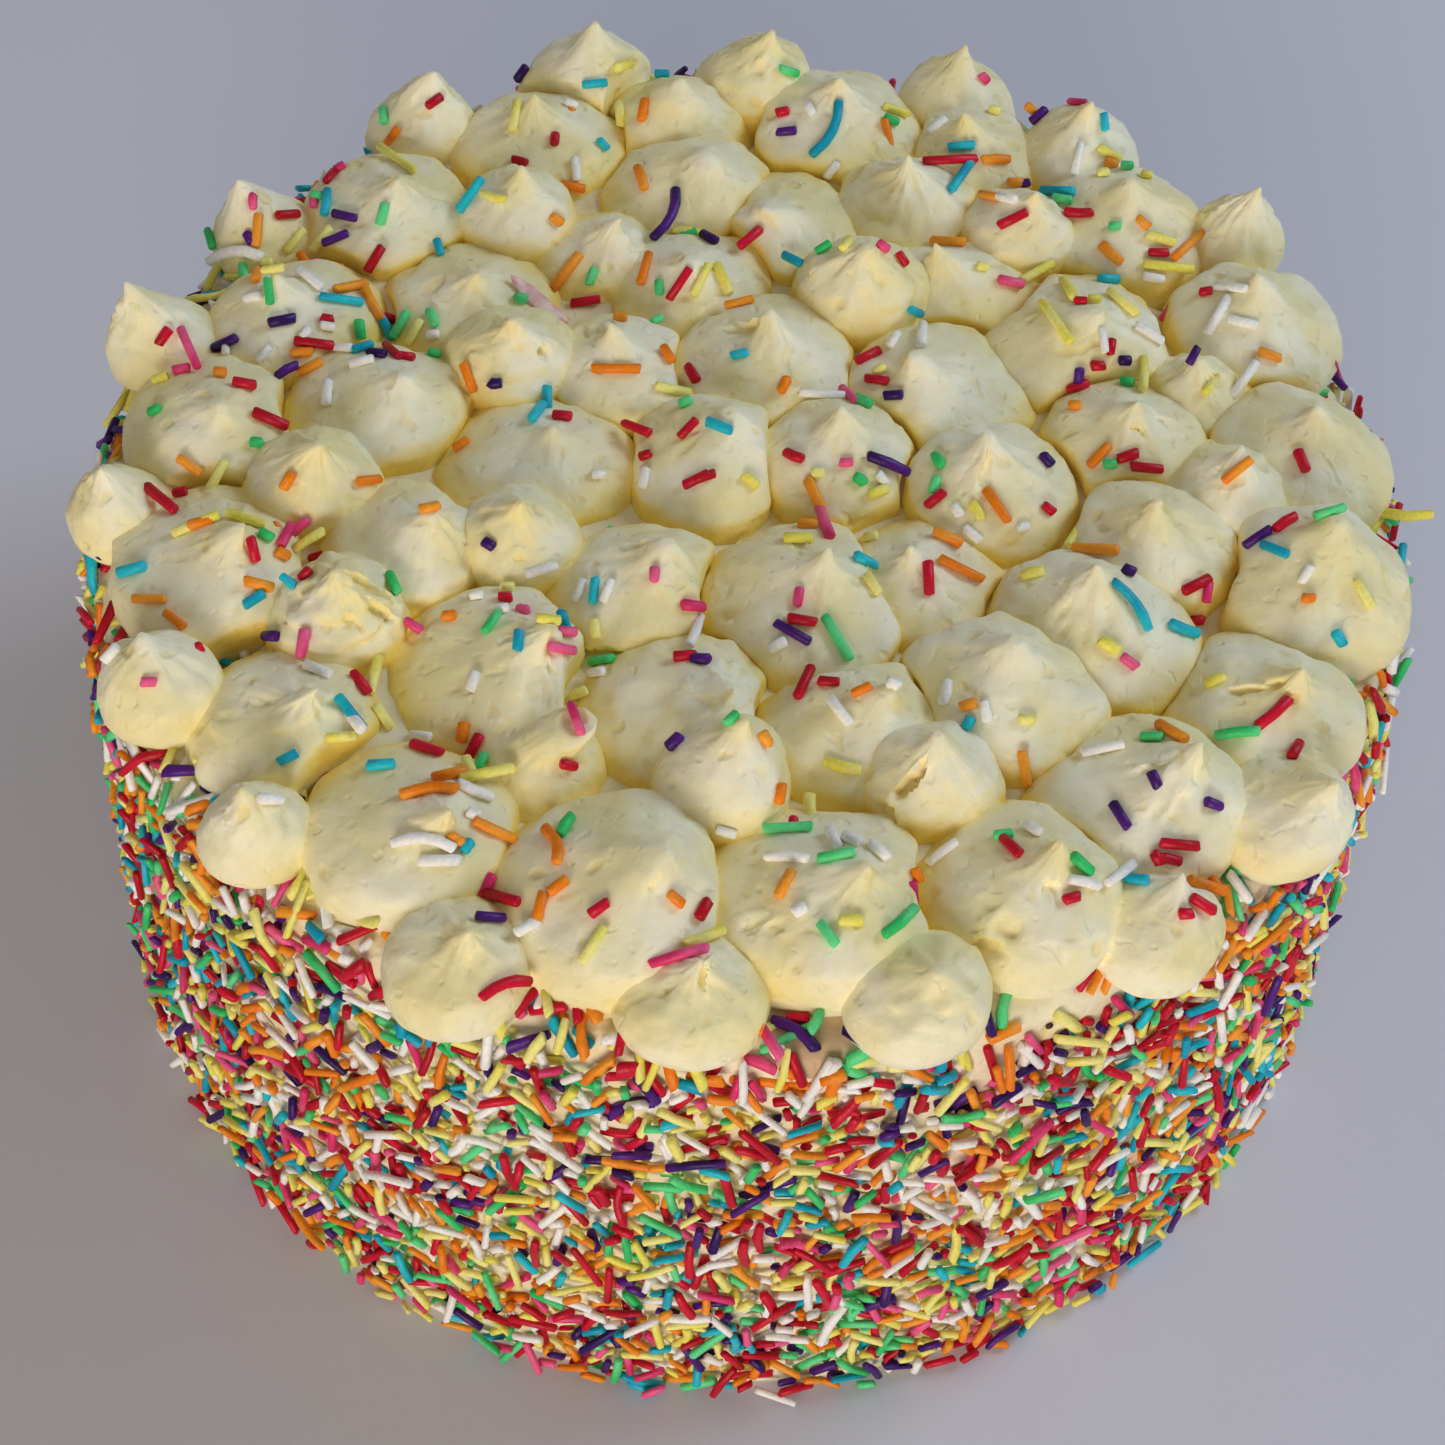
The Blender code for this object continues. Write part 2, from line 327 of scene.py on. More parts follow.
# ------------------------------------------------------------ piped dollops
def pair_bias(i, j):
    """How far the meeting line of two neighbours lies towards j, the later one pushing."""
    rng = random.Random(100 * min(i, j) + 7 * max(i, j))
    push = rng.uniform(1.0, 2.6) * rng.choice((-1, 1))
    return push if i < j else -push


def walls_of(index):
    """The flats where a wide dollop was pressed against its wide neighbours: the
    direction of each, its distance, and how much it bulges."""
    x, y, radius = LAYOUT[index][:3]
    found = []
    if radius < SMALL:
        return found
    for j, other in enumerate(LAYOUT):
        if j == index or other[2] < SMALL:
            continue
        dx, dy = other[0] - x, other[1] - y
        dist = math.hypot(dx, dy)
        if dist > 36.0:
            continue
        edge = (dist * dist + radius**2 - other[2] ** 2) / (2.0 * dist)
        found.append((dx / dist, dy / dist, edge + 0.3, pair_bias(index, j)))
    return found


SPECIAL = {13, 17, 20, 23, 7, 4, 14, 5}  # torn, cracked and dished ones, made finer


def dollop_mesh(index, segments, levels):
    x, y, radius, height, lift, lean_x, lean_y = LAYOUT[index]
    rng = random.Random(31 * index + 7)
    slim = (height / radius - WIDE_ASPECT) / (SLIM_ASPECT - WIDE_ASPECT)
    slim = min(1.0, max(0.0, slim))
    wide = radius >= SMALL
    angles = 2 * np.pi * np.arange(segments) / segments + rng.uniform(0, 6.28)
    a2, a3 = rng.uniform(0.01, 0.04), rng.uniform(0.008, 0.025)
    p2, p3 = rng.uniform(0, 6.3), rng.uniform(0, 6.3)
    natural = radius * (1.0 + a2 * np.sin(2 * angles + p2) + a3 * np.sin(3 * angles + p3))
    out = math.hypot(x, y)
    if wide:
        inward = np.ones_like(angles)
        if out > 1.0:
            facing = (x * np.cos(angles) + y * np.sin(angles)) / out
            inward = 1.0 - np.clip((out - 62.0) / 20.0, 0, 1) * np.clip(
                (facing + 0.1) / 0.6, 0, 1
            )
        natural = natural * (1.0 + 0.17 * inward)
    foot = RIM_HEIGHT - 1.0 + min(lift, 1.0) * 0.5
    top = RIM_HEIGHT + height + lift
    v = np.linspace(0.0, 1.0, levels)
    u = np.clip(v * 1.04 - 0.04 * np.sin(np.pi * v), 0, 1)
    u[-1] = 1.0
    # some peaks broke off sharp, others sank back to a round nub
    own = random.Random(97 * index + 11)
    blunt = 1.0 if index in BLUNT else own.random() ** 2 * (0.9 if wide else 0.5)
    ledges = 1.1 if index in ROUGH else own.uniform(0.15, 0.75)
    if index == STUB:
        share = smooth_curve(STUB_PROFILE, u)
    elif index in CONES:
        share = smooth_curve(CONE_PROFILE, u)
    else:
        reach = 1.0 - 0.13 * blunt
        share = smooth_curve(WIDE_PROFILE, u * reach) * (1 - slim) + smooth_curve(
            SLIM_PROFILE, u * reach
        ) * slim
        cap = np.clip((u - 0.88) / 0.12, 0, 1)
        share = share * (1 - blunt * (1 - np.sqrt(1 - (0.93 * cap) ** 2)))
    pleats = rng.uniform(0.05, 0.16) if index not in RIDGED else 0.26
    folds = rng.uniform(0.0, 0.9) if wide else rng.uniform(0.0, 0.25)
    folds_at = rng.uniform(0.50, 0.60)
    if index in TIERED:
        folds, folds_at = 2.1, 0.44
    twist = rng.uniform(-0.9, 0.9)
    tail = rng.uniform(0.0, 6.28)
    curl = rng.uniform(0.2, 0.9)
    walls = walls_of(index)
    points = []
    for k in range(levels):
        z = foot + u[k] * (top - foot)
        if lift > 0 and u[k] > 0:
            z += lift * 0.35 * (1.0 - u[k])
        drawn = u[k] ** LEAN_POWER
        hook = max(0.0, u[k] - 0.82) / 0.18
        cx = x + lean_x * drawn + curl * hook * hook * math.cos(tail)
        cy = y + lean_y * drawn + curl * hook * hook * math.sin(tail)
        upper = math.exp(-(((u[k] - 0.70) / 0.20) ** 2))
        step = math.exp(-(((u[k] - folds_at) / 0.06) ** 2))
        for i in range(segments):
            a = angles[i]
            r = natural[i] * share[k]
            # fine pleats that the nozzle left round the peak, and a soft fold under it
            c, s = math.cos(a + twist * u[k]), math.sin(a + twist * u[k])
            pleat = noise.noise((c * 3.6, s * 3.6, u[k] * 1.3 + index * 3.7))
            pleat += 0.6 * noise.noise((c * 9.0, s * 9.0, u[k] * 2.0 + index * 1.3))
            r += pleats * upper * pleat * 2.4 * min(1.0, r / 2.5)
            r += folds * step * (0.6 + noise.noise((c * 1.5, s * 1.5, index * 2.1)))
            # small ledges where the cream tore as the nozzle lifted
            torn = noise.noise((c * 2.0, s * 2.0, z * 0.9 + index * 4.3))
            r += ledges * upper * torn * min(1.0, r / 2.0) * 1.6
            px, py = cx + r * math.cos(a), cy + r * math.sin(a)
            for nx, ny, edge, push in walls:
                across = (px - x) * -ny + (py - y) * nx
                over = (px - x) * nx + (py - y) * ny - edge
                over -= push * math.exp(-((across / 8.0) ** 2))
                if over > -3.5:
                    back = math.log1p(math.exp(1.7 * over)) / 1.7 if over < 12 else over
                    px -= back * nx
                    py -= back * ny
            lump = 0.55 * bumps(px, py, z, 8.5) + 0.30 * bumps(px + 50, py, z, 3.2)
            lump += 0.10 * bumps(px, py + 50, z, 1.5)
            lump *= min(1.0, r / 3.0)
            px += 0.6 * lump * math.cos(a)
            py += 0.6 * lump * math.sin(a)
            points.append((px, py, z + 0.75 * lump * (u[k] > 0.1)))
    tip = (
        x + lean_x + curl * math.cos(tail),
        y + lean_y + curl * math.sin(tail),
        top + 0.25 if index != STUB else top - 1.5,
    )
    return points, tip


def loft_faces(levels, segments, offset, tip, foot):
    quads, tris = [], []
    for k in range(levels - 1):
        for i in range(segments):
            j = (i + 1) % segments
            quads.append(
                (
                    offset + k * segments + i,
                    offset + k * segments + j,
                    offset + (k + 1) * segments + j,
                    offset + (k + 1) * segments + i,
                )
            )
    for i in range(segments):
        j = (i + 1) % segments
        last = offset + (levels - 1) * segments
        tris.append((last + i, last + j, tip))
        tris.append((offset + j, offset + i, foot))
    return quads, tris


def camera_rays(px, py):
    """Origin and direction, in mm, of the sight line through a point of the picture."""
    right, up, fwd = camera_axes()
    half = PICTURE / 2.0
    d = fwd + right * ((px - half) / FOCAL_PIXELS) - up * ((py - half) / FOCAL_PIXELS)
    return Vector(CAMERA_PLACE), Vector(d / np.linalg.norm(d))


def on_plane(px, py, z):
    """Where the sight line through a point of the picture meets a level, in mm."""
    o, d = camera_rays(px, py)
    t = (z - o.z) / d.z
    return o.x + t * d.x, o.y + t * d.y


# Holes, cracks and dents: place in the picture, length and width in mm, turn of the
# length in degrees, depth in mm, and how high the torn lip stands up.
DENTS = (
    (908, 785, 5.0, 1.7, -42, 3.0, 0.5),  # crack beside a peak, with a ragged lip
    (919, 772, 3.0, 1.3, -60, 2.6, 0.4),
    (885, 812, 3.6, 2.8, 80, 0.9, 0.4),  # burst bubbles
    (752, 925, 2.8, 2.4, 20, 1.0, 0.35),
    (778, 926, 2.2, 1.8, 0, 0.9, 0.3),
    (797, 966, 1.8, 1.4, 0, 0.7, 0.15),
    (728, 578, 3.0, 2.6, 10, 0.6, 0.3),
    (1008, 931, 4.4, 1.9, 25, 1.3, 0.3),  # torn holes
    (989, 949, 4.8, 2.4, 15, 1.4, 0.3),
    (980, 903, 4.0, 1.3, 35, 0.8, 0.3),
    (1054, 890, 1.8, 2.4, 90, 1.4, 0.2),
    (978, 930, 1.4, 1.0, 0, 1.0, 0.1),
    (1246, 690, 4.6, 1.3, 4, 1.6, 0.35),
    (1276, 684, 2.2, 1.6, 0, 1.5, 0.3),
    (1290, 700, 3.0, 1.2, -20, 1.2, 0.3),
    (1205, 658, 1.6, 1.1, 0, 0.8, 0.1),
    (700, 980, 0.9, 3.2, 0, 2.2, 0.15),  # slit under a tip
    (665, 992, 1.2, 0.9, 0, 0.6, 0.0),
    (723, 752, 1.0, 0.8, 0, 0.6, 0.1),
    (670, 785, 1.2, 1.0, 0, 0.8, 0.1),
    (658, 878, 1.0, 1.3, 0, 0.8, 0.0),
    (372, 590, 6.5, 1.5, 12, 1.2, 0.6),  # folds beside a peak
    (378, 612, 6.0, 1.4, 18, 1.3, 0.6),
    (352, 622, 4.0, 1.2, 30, 0.9, 0.4),
    (545, 700, 5.0, 1.3, -12, 0.9, 0.5),
    (602, 655, 6.0, 1.2, -8, 0.8, 0.5),
    (420, 640, 5.0, 1.3, 5, 0.8, 0.4),
    (520, 560, 3.4, 1.2, -10, 0.9, 0.4),
    (652, 890, 1.6, 1.0, 30, 0.8, 0.1),
    (296, 795, 1.2, 1.4, 0, 0.9, 0.1),
    (335, 850, 1.3, 1.0, 0, 0.7, 0.1),
    (470, 690, 4.2, 1.0, 8, 0.7, 0.3),
    (1150, 770, 3.4, 1.1, 10, 1.0, 0.4),
    (1165, 815, 4.2, 1.1, 12, 0.9, 0.4),
    (1080, 640, 7.0, 1.1, 42, 0.8, 0.4),
    (1215, 380, 3.0, 1.3, -25, 1.2, 0.4),
    (740, 330, 4.2, 1.6, -10, 1.2, 0.5),
    (757, 70, 3.0, 2.6, 0, 1.2, 0.5),
    (545, 350, 3.4, 1.0, -15, 0.8, 0.3),
    (800, 545, 3.0, 1.0, 30, 0.7, 0.3),
    (985, 470, 5.0, 1.4, -70, 1.1, 0.5),
    (1140, 430, 4.0, 0.9, 30, 0.9, 0.4),
    (1163, 420, 4.0, 0.8, 40, 0.8, 0.4),
    (395, 420, 3.0, 1.0, 0, 0.7, 0.2),
    (1010, 545, 3.2, 1.0, -5, 0.7, 0.2),
    (591, 332, 6.5, 2.5, -8, 2.0, 0.5),  # scooped
    (749, 328, 4.0, 2.6, -5, 1.6, 0.4),
    (543, 352, 1.9, 1.8, 0, 1.3, 0.1),
    (566, 508, 2.6, 2.4, 60, 1.4, 0.2),
    (540, 675, 6.0, 1.2, -38, 1.0, 0.35),
    (729, 613, 2.8, 2.4, 0, 0.9, 0.35),
    (741, 538, 1.8, 1.4, 30, 0.7, 0.2),
    (631, 547, 5.0, 1.2, 14, 0.8, 0.5),
    (735, 671, 5.0, 1.2, 25, 0.8, 0.5),
    (687, 446, 2.0, 1.5, -60, 0.8, 0.1),
    (1063, 611, 3.0, 1.2, -60, 0.8, 0.25),
    (853, 523, 1.8, 1.5, 0, 0.8, 0.1),
    (1105, 528, 2.0, 1.5, 0, 0.8, 0.1),
    (948, 592, 1.7, 1.4, 0, 0.8, 0.1),
    (467, 390, 1.8, 1.3, 0, 0.8, 0.1),
    (220, 718, 2.4, 1.7, 0, 0.8, 0.1),
    (258, 705, 5.0, 1.4, -20, 0.8, 0.4),
)


def dollop_arrays():
    parts = []
    for index, row in enumerate(LAYOUT):
        segments, levels = (104, 40) if index in SPECIAL else (84, 32)
        ring_points, tip = dollop_mesh(index, segments, levels)
        pts = list(ring_points) + [tip, (row[0], row[1], ring_points[0][2])]
        n = len(ring_points)
        q, t = loft_faces(levels, segments, 0, n, n + 1)
        parts.append([np.array(pts), np.array(q), np.array(t)])
    return parts


def joined(parts):
    points, quads, tris, base = [], [], [], 0
    for pts, q, t in parts:
        points.append(pts)
        quads.append(q + base)
        tris.append(t + base)
        base += len(pts)
    return np.concatenate(points), np.concatenate(quads), np.concatenate(tris)


def tree_of(points, quads, tris):
    polygons = [tuple(f) for f in quads.tolist()] + [tuple(f) for f in tris.tolist()]
    return BVHTree.FromPolygons([tuple(p) for p in points.tolist()], polygons)


def press_dents(parts):
    """Push the surface in where it is torn, cracked or pitted."""
    tree = tree_of(*joined(parts))
    right, up, _ = camera_axes()
    for px, py, along, across, turn, depth, lip in DENTS:
        origin, ray = camera_rays(px, py)
        hit, normal, _, _ = tree.ray_cast(origin, ray)
        if hit is None:
            continue
        hit, n = np.array(hit), np.array(normal)
        t = math.radians(turn)
        d = math.cos(t) * right - math.sin(t) * up
        d = d - n * d.dot(n)
        d /= np.linalg.norm(d)
        e = np.cross(n, d)
        for part in parts:
            rel = part[0] - hit
            near = np.abs(rel).max(1) < 12.0
            if not near.any():
                continue
            rel = rel[near]
            p, q, h = rel @ d, rel @ e, rel @ n
            wave = 0.16 * np.sin(p * 2.9 + px) + 0.12 * np.sin(q * 4.1 + py)
            r = np.sqrt((2 * p / along) ** 2 + (2 * q / across) ** 2) + wave
            inside = np.clip((1.12 - r) / 0.45, 0, 1)
            inside = inside * inside * (3 - 2 * inside)
            ring = np.exp(-(((r - 1.45) / 0.30) ** 2)) * (q > -0.2 * across)
            skin = np.clip((h + 5.0) / 2.0, 0, 1)
            move = (-depth * inside + lip * ring) * skin
            part[0][near] += move[:, None] * n
    return parts


def build_dollops(parts, material):
    made = []
    for name, chosen in (
        ("piped_dollops_front", [i for i in range(len(LAYOUT)) if i < 26]),
        ("piped_dollops_middle", [i for i in range(len(LAYOUT)) if 26 <= i < 50]),
        ("piped_dollops_far", [i for i in range(len(LAYOUT)) if i >= 50]),
    ):
        points, quads, tris = joined([parts[i] for i in chosen])
        made.append(mesh_object(name, points, quads, tris, material, sharp=70.0))
    return made


# ---------------------------------------------------------- the iced cake
def icing_radius(z):
    taper = FOOT_RADIUS + (RIM_RADIUS - FOOT_RADIUS) * z / RIM_HEIGHT
    return taper - SPRINKLE_COAT


class SideCurve:
    """The outline of the icing from the foot, up the side, over the rounded edge and
    a little way in over the top. Distances along it are in millimetres."""

    def __init__(self):
        top_r = icing_radius(RIM_HEIGHT - EDGE_ROUND)
        pts = [(icing_radius(z), z) for z in np.linspace(0, RIM_HEIGHT - EDGE_ROUND, 40)]
        for a in np.linspace(0, math.pi / 2, 12)[1:]:
            pts.append(
                (
                    top_r - EDGE_ROUND + EDGE_ROUND * math.cos(a),
                    RIM_HEIGHT - EDGE_ROUND + EDGE_ROUND * math.sin(a),
                )
            )
        for r in np.linspace(top_r - EDGE_ROUND, top_r - 30.0, 20)[1:]:
            pts.append((r, RIM_HEIGHT))
        self.points = np.array(pts)
        d = np.hypot(*np.diff(self.points, axis=0).T)
        self.along = np.concatenate([[0], np.cumsum(d)])
        tangent = np.gradient(self.points, self.along, axis=0)
        tangent /= np.linalg.norm(tangent, axis=1)[:, None]
        self.normals = np.stack([tangent[:, 1], -tangent[:, 0]], 1)
        self.shoulder = self.along[39]
        self.flat = self.along[50]

    def at(self, v):
        r = np.interp(v, self.along, self.points[:, 0])
        z = np.interp(v, self.along, self.points[:, 1])
        nr = np.interp(v, self.along, self.normals[:, 0])
        nz = np.interp(v, self.along, self.normals[:, 1])
        return r, z, nr, nz


def build_core(side, material):
    """The iced cake under the sprinkles: side, rounded edge and top coat."""
    segments = 240
    profile = list(side.points)
    profile += [(r, RIM_HEIGHT) for r in (60.0, 45.0, 30.0, 15.0)]
    points, quads = [], []
    for k, (r, z) in enumerate(profile):
        for i in range(segments):
            a = 2 * math.pi * i / segments
            x, y = math.cos(a), math.sin(a)
            lump = 0.35 * bumps(x * r, y * r, z * 1.0, 16.0) + 0.12 * bumps(
                x * r, y * r + 90.0, z, 5.0
            )
            on_top = z > RIM_HEIGHT - 0.01
            if k == 0 or on_top:
                rise = min(1.0, max(0.0, (FILL_RADIUS + FILL_EDGE - r) / FILL_EDGE))
                rise = FILL_HEIGHT * rise * rise * (3 - 2 * rise)
                points.append(
                    (x * r, y * r, z + (rise + 0.4 * lump if on_top else 0.0))
                )
            else:
                points.append((x * (r + lump), y * (r + lump), z))
    count = len(profile)
    for k in range(count - 1):
        for i in range(segments):
            j = (i + 1) % segments
            quads.append(
                (
                    k * segments + i,
                    k * segments + j,
                    (k + 1) * segments + j,
                    (k + 1) * segments + i,
                )
            )
    tris = []
    points.append((0, 0, RIM_HEIGHT + FILL_HEIGHT))
    points.append((0, 0, 0.0))
    for i in range(segments):
        j = (i + 1) % segments
        tris.append(((count - 1) * segments + i, (count - 1) * segments + j, len(points) - 2))
        tris.append((j, i, len(points) - 1))
    arrays = np.array(points), np.array(quads), np.array(tris)
    return mesh_object("iced_cake", *arrays, material, sharp=50.0), arrays


# ----------------------------------------------------------------- sprinkles
COLOUR_SHARE = {
    "red": 0.18,
    "orange": 0.145,
    "yellow": 0.185,
    "green": 0.08,
    "turquoise": 0.08,
    "purple": 0.08,
    "pink": 0.075,
    "white": 0.175,
}
COLOUR_NAMES = list(COLOUR_SHARE)
LETTERS = dict(zip("ROYGTPKW", COLOUR_NAMES))
COAT_SIDES, STREWN_SIDES = 6, 9
STRAIGHT =((-0.5, 0.05, 0.70), (-0.5, 0.30, 0.98), (0.5, -0.30, 0.98), (0.5, -0.05, 0.70))
BENT = STRAIGHT[:2] + ((0.0, 0.0, 1.03),) + STRAIGHT[2:]
CURVED = STRAIGHT[:2] + ((-0.22, 0.0, 1.02), (0.0, 0.0, 1.0), (0.22, 0.0, 1.03)) + STRAIGHT[2:]


class RodField:
    """Collects the sprinkles of each colour as points and faces."""

    def __init__(self):
        self.points = {c: [] for c in COLOUR_NAMES}
        self.quads = {c: [] for c in COLOUR_NAMES}
        self.tris = {c: [] for c in COLOUR_NAMES}
        self.count = {c: 0 for c in COLOUR_NAMES}
        self.pattern = {}

    def faces(self, n, sides):
        """Faces of a rod with n rings, its two end points last."""
        if (n, sides) not in self.pattern:
            quads, tris = [], []
            for k in range(n - 1):
                for i in range(sides):
                    j = (i + 1) % sides
                    quads.append(
                        (
                            k * sides + i,
                            k * sides + j,
                            (k + 1) * sides + j,
                            (k + 1) * sides + i,
                        )
                    )
            first, last = n * sides, n * sides + 1
            for i in range(sides):
                j = (i + 1) % sides
                tris.append((j, i, first))
                tris.append(((n - 1) * sides + i, (n - 1) * sides + j, last))
            self.pattern[n, sides] = np.array(quads), np.array(tris)
        return self.pattern[n, sides]

    def add(self, colour, place, length, half, bow, rng, sides):
        """place maps arrays (along, across, up) in mm to cake coordinates in mm."""
        strong = abs(bow) > 0.075 * length
        shape = CURVED if strong else BENT if abs(bow) > 0.15 else STRAIGHT
        n = len(shape)
        shape = np.array(shape)
        ring = shape[:, 0] * length + shape[:, 1] * half
        t = ring / length
        centre = bow * (1.0 - 4.0 * t * t)
        slope = -8.0 * bow * t / length
        norm = np.sqrt(1.0 + slope * slope)
        thick = half * shape[:, 2] * np.array([rng.uniform(0.91, 1.07) for _ in range(n)])
        a = 2 * np.pi * (np.arange(sides) + rng.random()) / sides
        flat = rng.uniform(0.86, 1.0)
        side = thick[:, None] * np.cos(a)[None, :]
        lift = thick[:, None] * np.sin(a)[None, :] * flat
        cut = np.zeros(n)
        cut[0], cut[-1] = rng.uniform(-0.35, 0.35), rng.uniform(-0.35, 0.35)
        along = ring[:, None] + cut[:, None] * side - side * (slope / norm)[:, None]
        across = centre[:, None] + side / norm[:, None]
        along = np.append(along.ravel(), (-0.5 * length, 0.5 * length))
        across = np.append(across.ravel(), (0.0, 0.0))
        up = np.append(lift.ravel(), (0.0, 0.0))
        pts = place(along, across, up)
        quads, tris = self.faces(n, sides)
        base = self.count[colour]
        self.points[colour].append(pts)
        self.quads[colour].append(quads + base)
        self.tris[colour].append(tris + base)
        self.count[colour] += len(pts)

    def build(self, materials):
        made = []
        for colour in COLOUR_NAMES:
            obj = mesh_object(
                "sprinkles_" + colour,
                np.concatenate(self.points[colour]),
                np.concatenate(self.quads[colour]),
                np.concatenate(self.tris[colour]),
                materials[colour],
            )
            made.append(obj)
        return made


def under_dollop(x, y, inside):
    for row in LAYOUT:
        if math.hypot(x - row[0], y - row[1]) < row[2] - inside:
            return True
    return False


# Stretches of the rim where the icing shows bare: place in the picture, radius in mm.
BARE_RIM = (
    (1040, 1012, 8.5),
    (1000, 1020, 5.0),
    (1072, 1010, 6.0),
    (1112, 1006, 6.0),
    (1150, 1000, 5.0),
    (810, 1018, 6.5),
    (808, 1040, 4.0),
    (98, 600, 6.0),
)
ROUND = 105.0  # the radius on which distances round the cake are counted


def coat_side(field, side):
    """Drop sprinkles one after another on the side, each coming to rest on the icing
    or across the ones that already lie there, as a pressed-on coat builds up."""
    rng = random.Random(4264)
    girth = 2 * math.pi * ROUND
    cell = 5.0
    cells = int(girth / cell)
    grid = {}
    arr = np.zeros((16000, 7))
    n = 0
    v_end = side.flat + 15.0
    samples = np.linspace(-1.0, 1.0, 5)
    slopes = np.linspace(-0.6, 0.6, 13)
    slope_cost = 0.35 * np.abs(slopes)
    gap = 2 * ROD * 0.93
    bare = [(*on_plane(px, py, RIM_HEIGHT), r) for px, py, r in BARE_RIM]

    def settle(s, v, ca, sa, half_len):
        ci, cj = int(s / cell), int(v / cell)
        near = []
        for di in (-2, -1, 0, 1, 2):
            for dj in (-2, -1, 0, 1, 2):
                near.extend(grid.get(((ci + di) % cells, cj + dj), ()))
        ts = samples * half_len
        need = np.full(len(ts), ROD * 0.62)
        if near:
            q = arr[near]
            dx = (s + ts * ca)[None, :] - q[:, 0:1]
            dx = (dx + girth / 2) % girth - girth / 2
            dy = (v + ts * sa)[None, :] - q[:, 1:2]
            t = dx * q[:, 2:3] + dy * q[:, 3:4]
            t = np.clip(t, -q[:, 4:5], q[:, 4:5])
            d2 = (dx - t * q[:, 2:3]) ** 2 + (dy - t * q[:, 3:4]) ** 2
            hit = q[:, 5:6] + q[:, 6:7] * t + np.sqrt(np.maximum(gap * gap - d2, 0.0))
            need = np.maximum(need, np.where(d2 < gap * gap, hit, 0.0).max(axis=0))
        rest = (need[None, :] - slopes[:, None] * ts[None, :]).max(axis=1)
        best = int(np.argmin(rest + slope_cost))
        return rest[best], slopes[best]

    placed = misses = 0
    while misses < 3800 and placed < 9700:
        best = None
        short = rng.random() < 0.30
        for _ in range(3):
            v = rng.uniform(0.6, v_end)
            s = rng.uniform(0, girth)
            phi = s / ROUND
            length = rng.uniform(2.0, 3.8) if short else min(10.5, max(3.0, rng.gauss(5.3, 1.7)))
            half_len = length / 2 - 0.3
            alpha = rng.uniform(0, math.pi)
            if v < 4.0:
                alpha = rng.gauss(0.0, 0.6)
            ca, sa = math.cos(alpha), math.sin(alpha)
            if v - abs(sa) * half_len < 0.9:
                v = 0.9 + abs(sa) * half_len + rng.uniform(0, 0.6)
            if v > side.shoulder - 2.0:
                r, z, _, _ = side.at(v)
                x, y = r * math.cos(phi), r * math.sin(phi)
                if any(math.hypot(x - bx, y - by) < br for bx, by, br in bare):
                    if rng.random() < 0.96:
                        continue
                if v > side.flat and under_dollop(x, y, 2.5):
                    continue
            height, slope = settle(s, v, ca, sa, half_len)
            if best is None or height < best[0]:
                best = (height, slope, s, v, ca, sa, length, half_len)
        if best is None:
            continue
        height, slope, s, v, ca, sa, length, half_len = best
        limit = 2.9 + 1.3 * max(0.0, 1.0 - v / 8.0) + 0.45 * bumps(s, v, 3.0, 22.0)
        if height > limit and rng.random() < 0.97:
            misses += 1
            continue
        arr[n] = (s, v, ca, sa, half_len, height, slope)
        grid.setdefault((int(s / cell) % cells, int(v / cell)), []).append(n)
        n += 1
        placed += 1
        bow = 0.0
        kind = rng.random()
        if kind < 0.40:
            bow = rng.uniform(0.15, 0.45) * length / 6.0 * rng.choice((-1, 1))
        elif kind < 0.50 and length > 5.0:
            bow = rng.uniform(0.08, 0.16) * length * rng.choice((-1, 1))
        half = ROD * rng.uniform(0.82, 1.06)
        weights = [
            share * math.exp(1.5 * noise.noise((s / 11.0, v / 11.0, 20.0 * k)))
            for k, share in enumerate(COLOUR_SHARE.values())
        ]
        colour = rng.choices(COLOUR_NAMES, weights)[0]

        def place(along, across, up, s=s, v=v, ca=ca, sa=sa, height=height, slope=slope):
            ss = s + along * ca - across * sa
            vv = v + along * sa + across * ca
            h = height + slope * along + up
            r, z, nr, nz = side.at(vv)
            radius = r + nr * h
            p = ss / ROUND
            return np.stack(
                [radius * np.cos(p), radius * np.sin(p), np.maximum(z + nz * h, 0.05)], 1
            )

        field.add(colour, place, length, half, bow, rng, COAT_SIDES)
    print("side sprinkles", placed, "misses", misses)


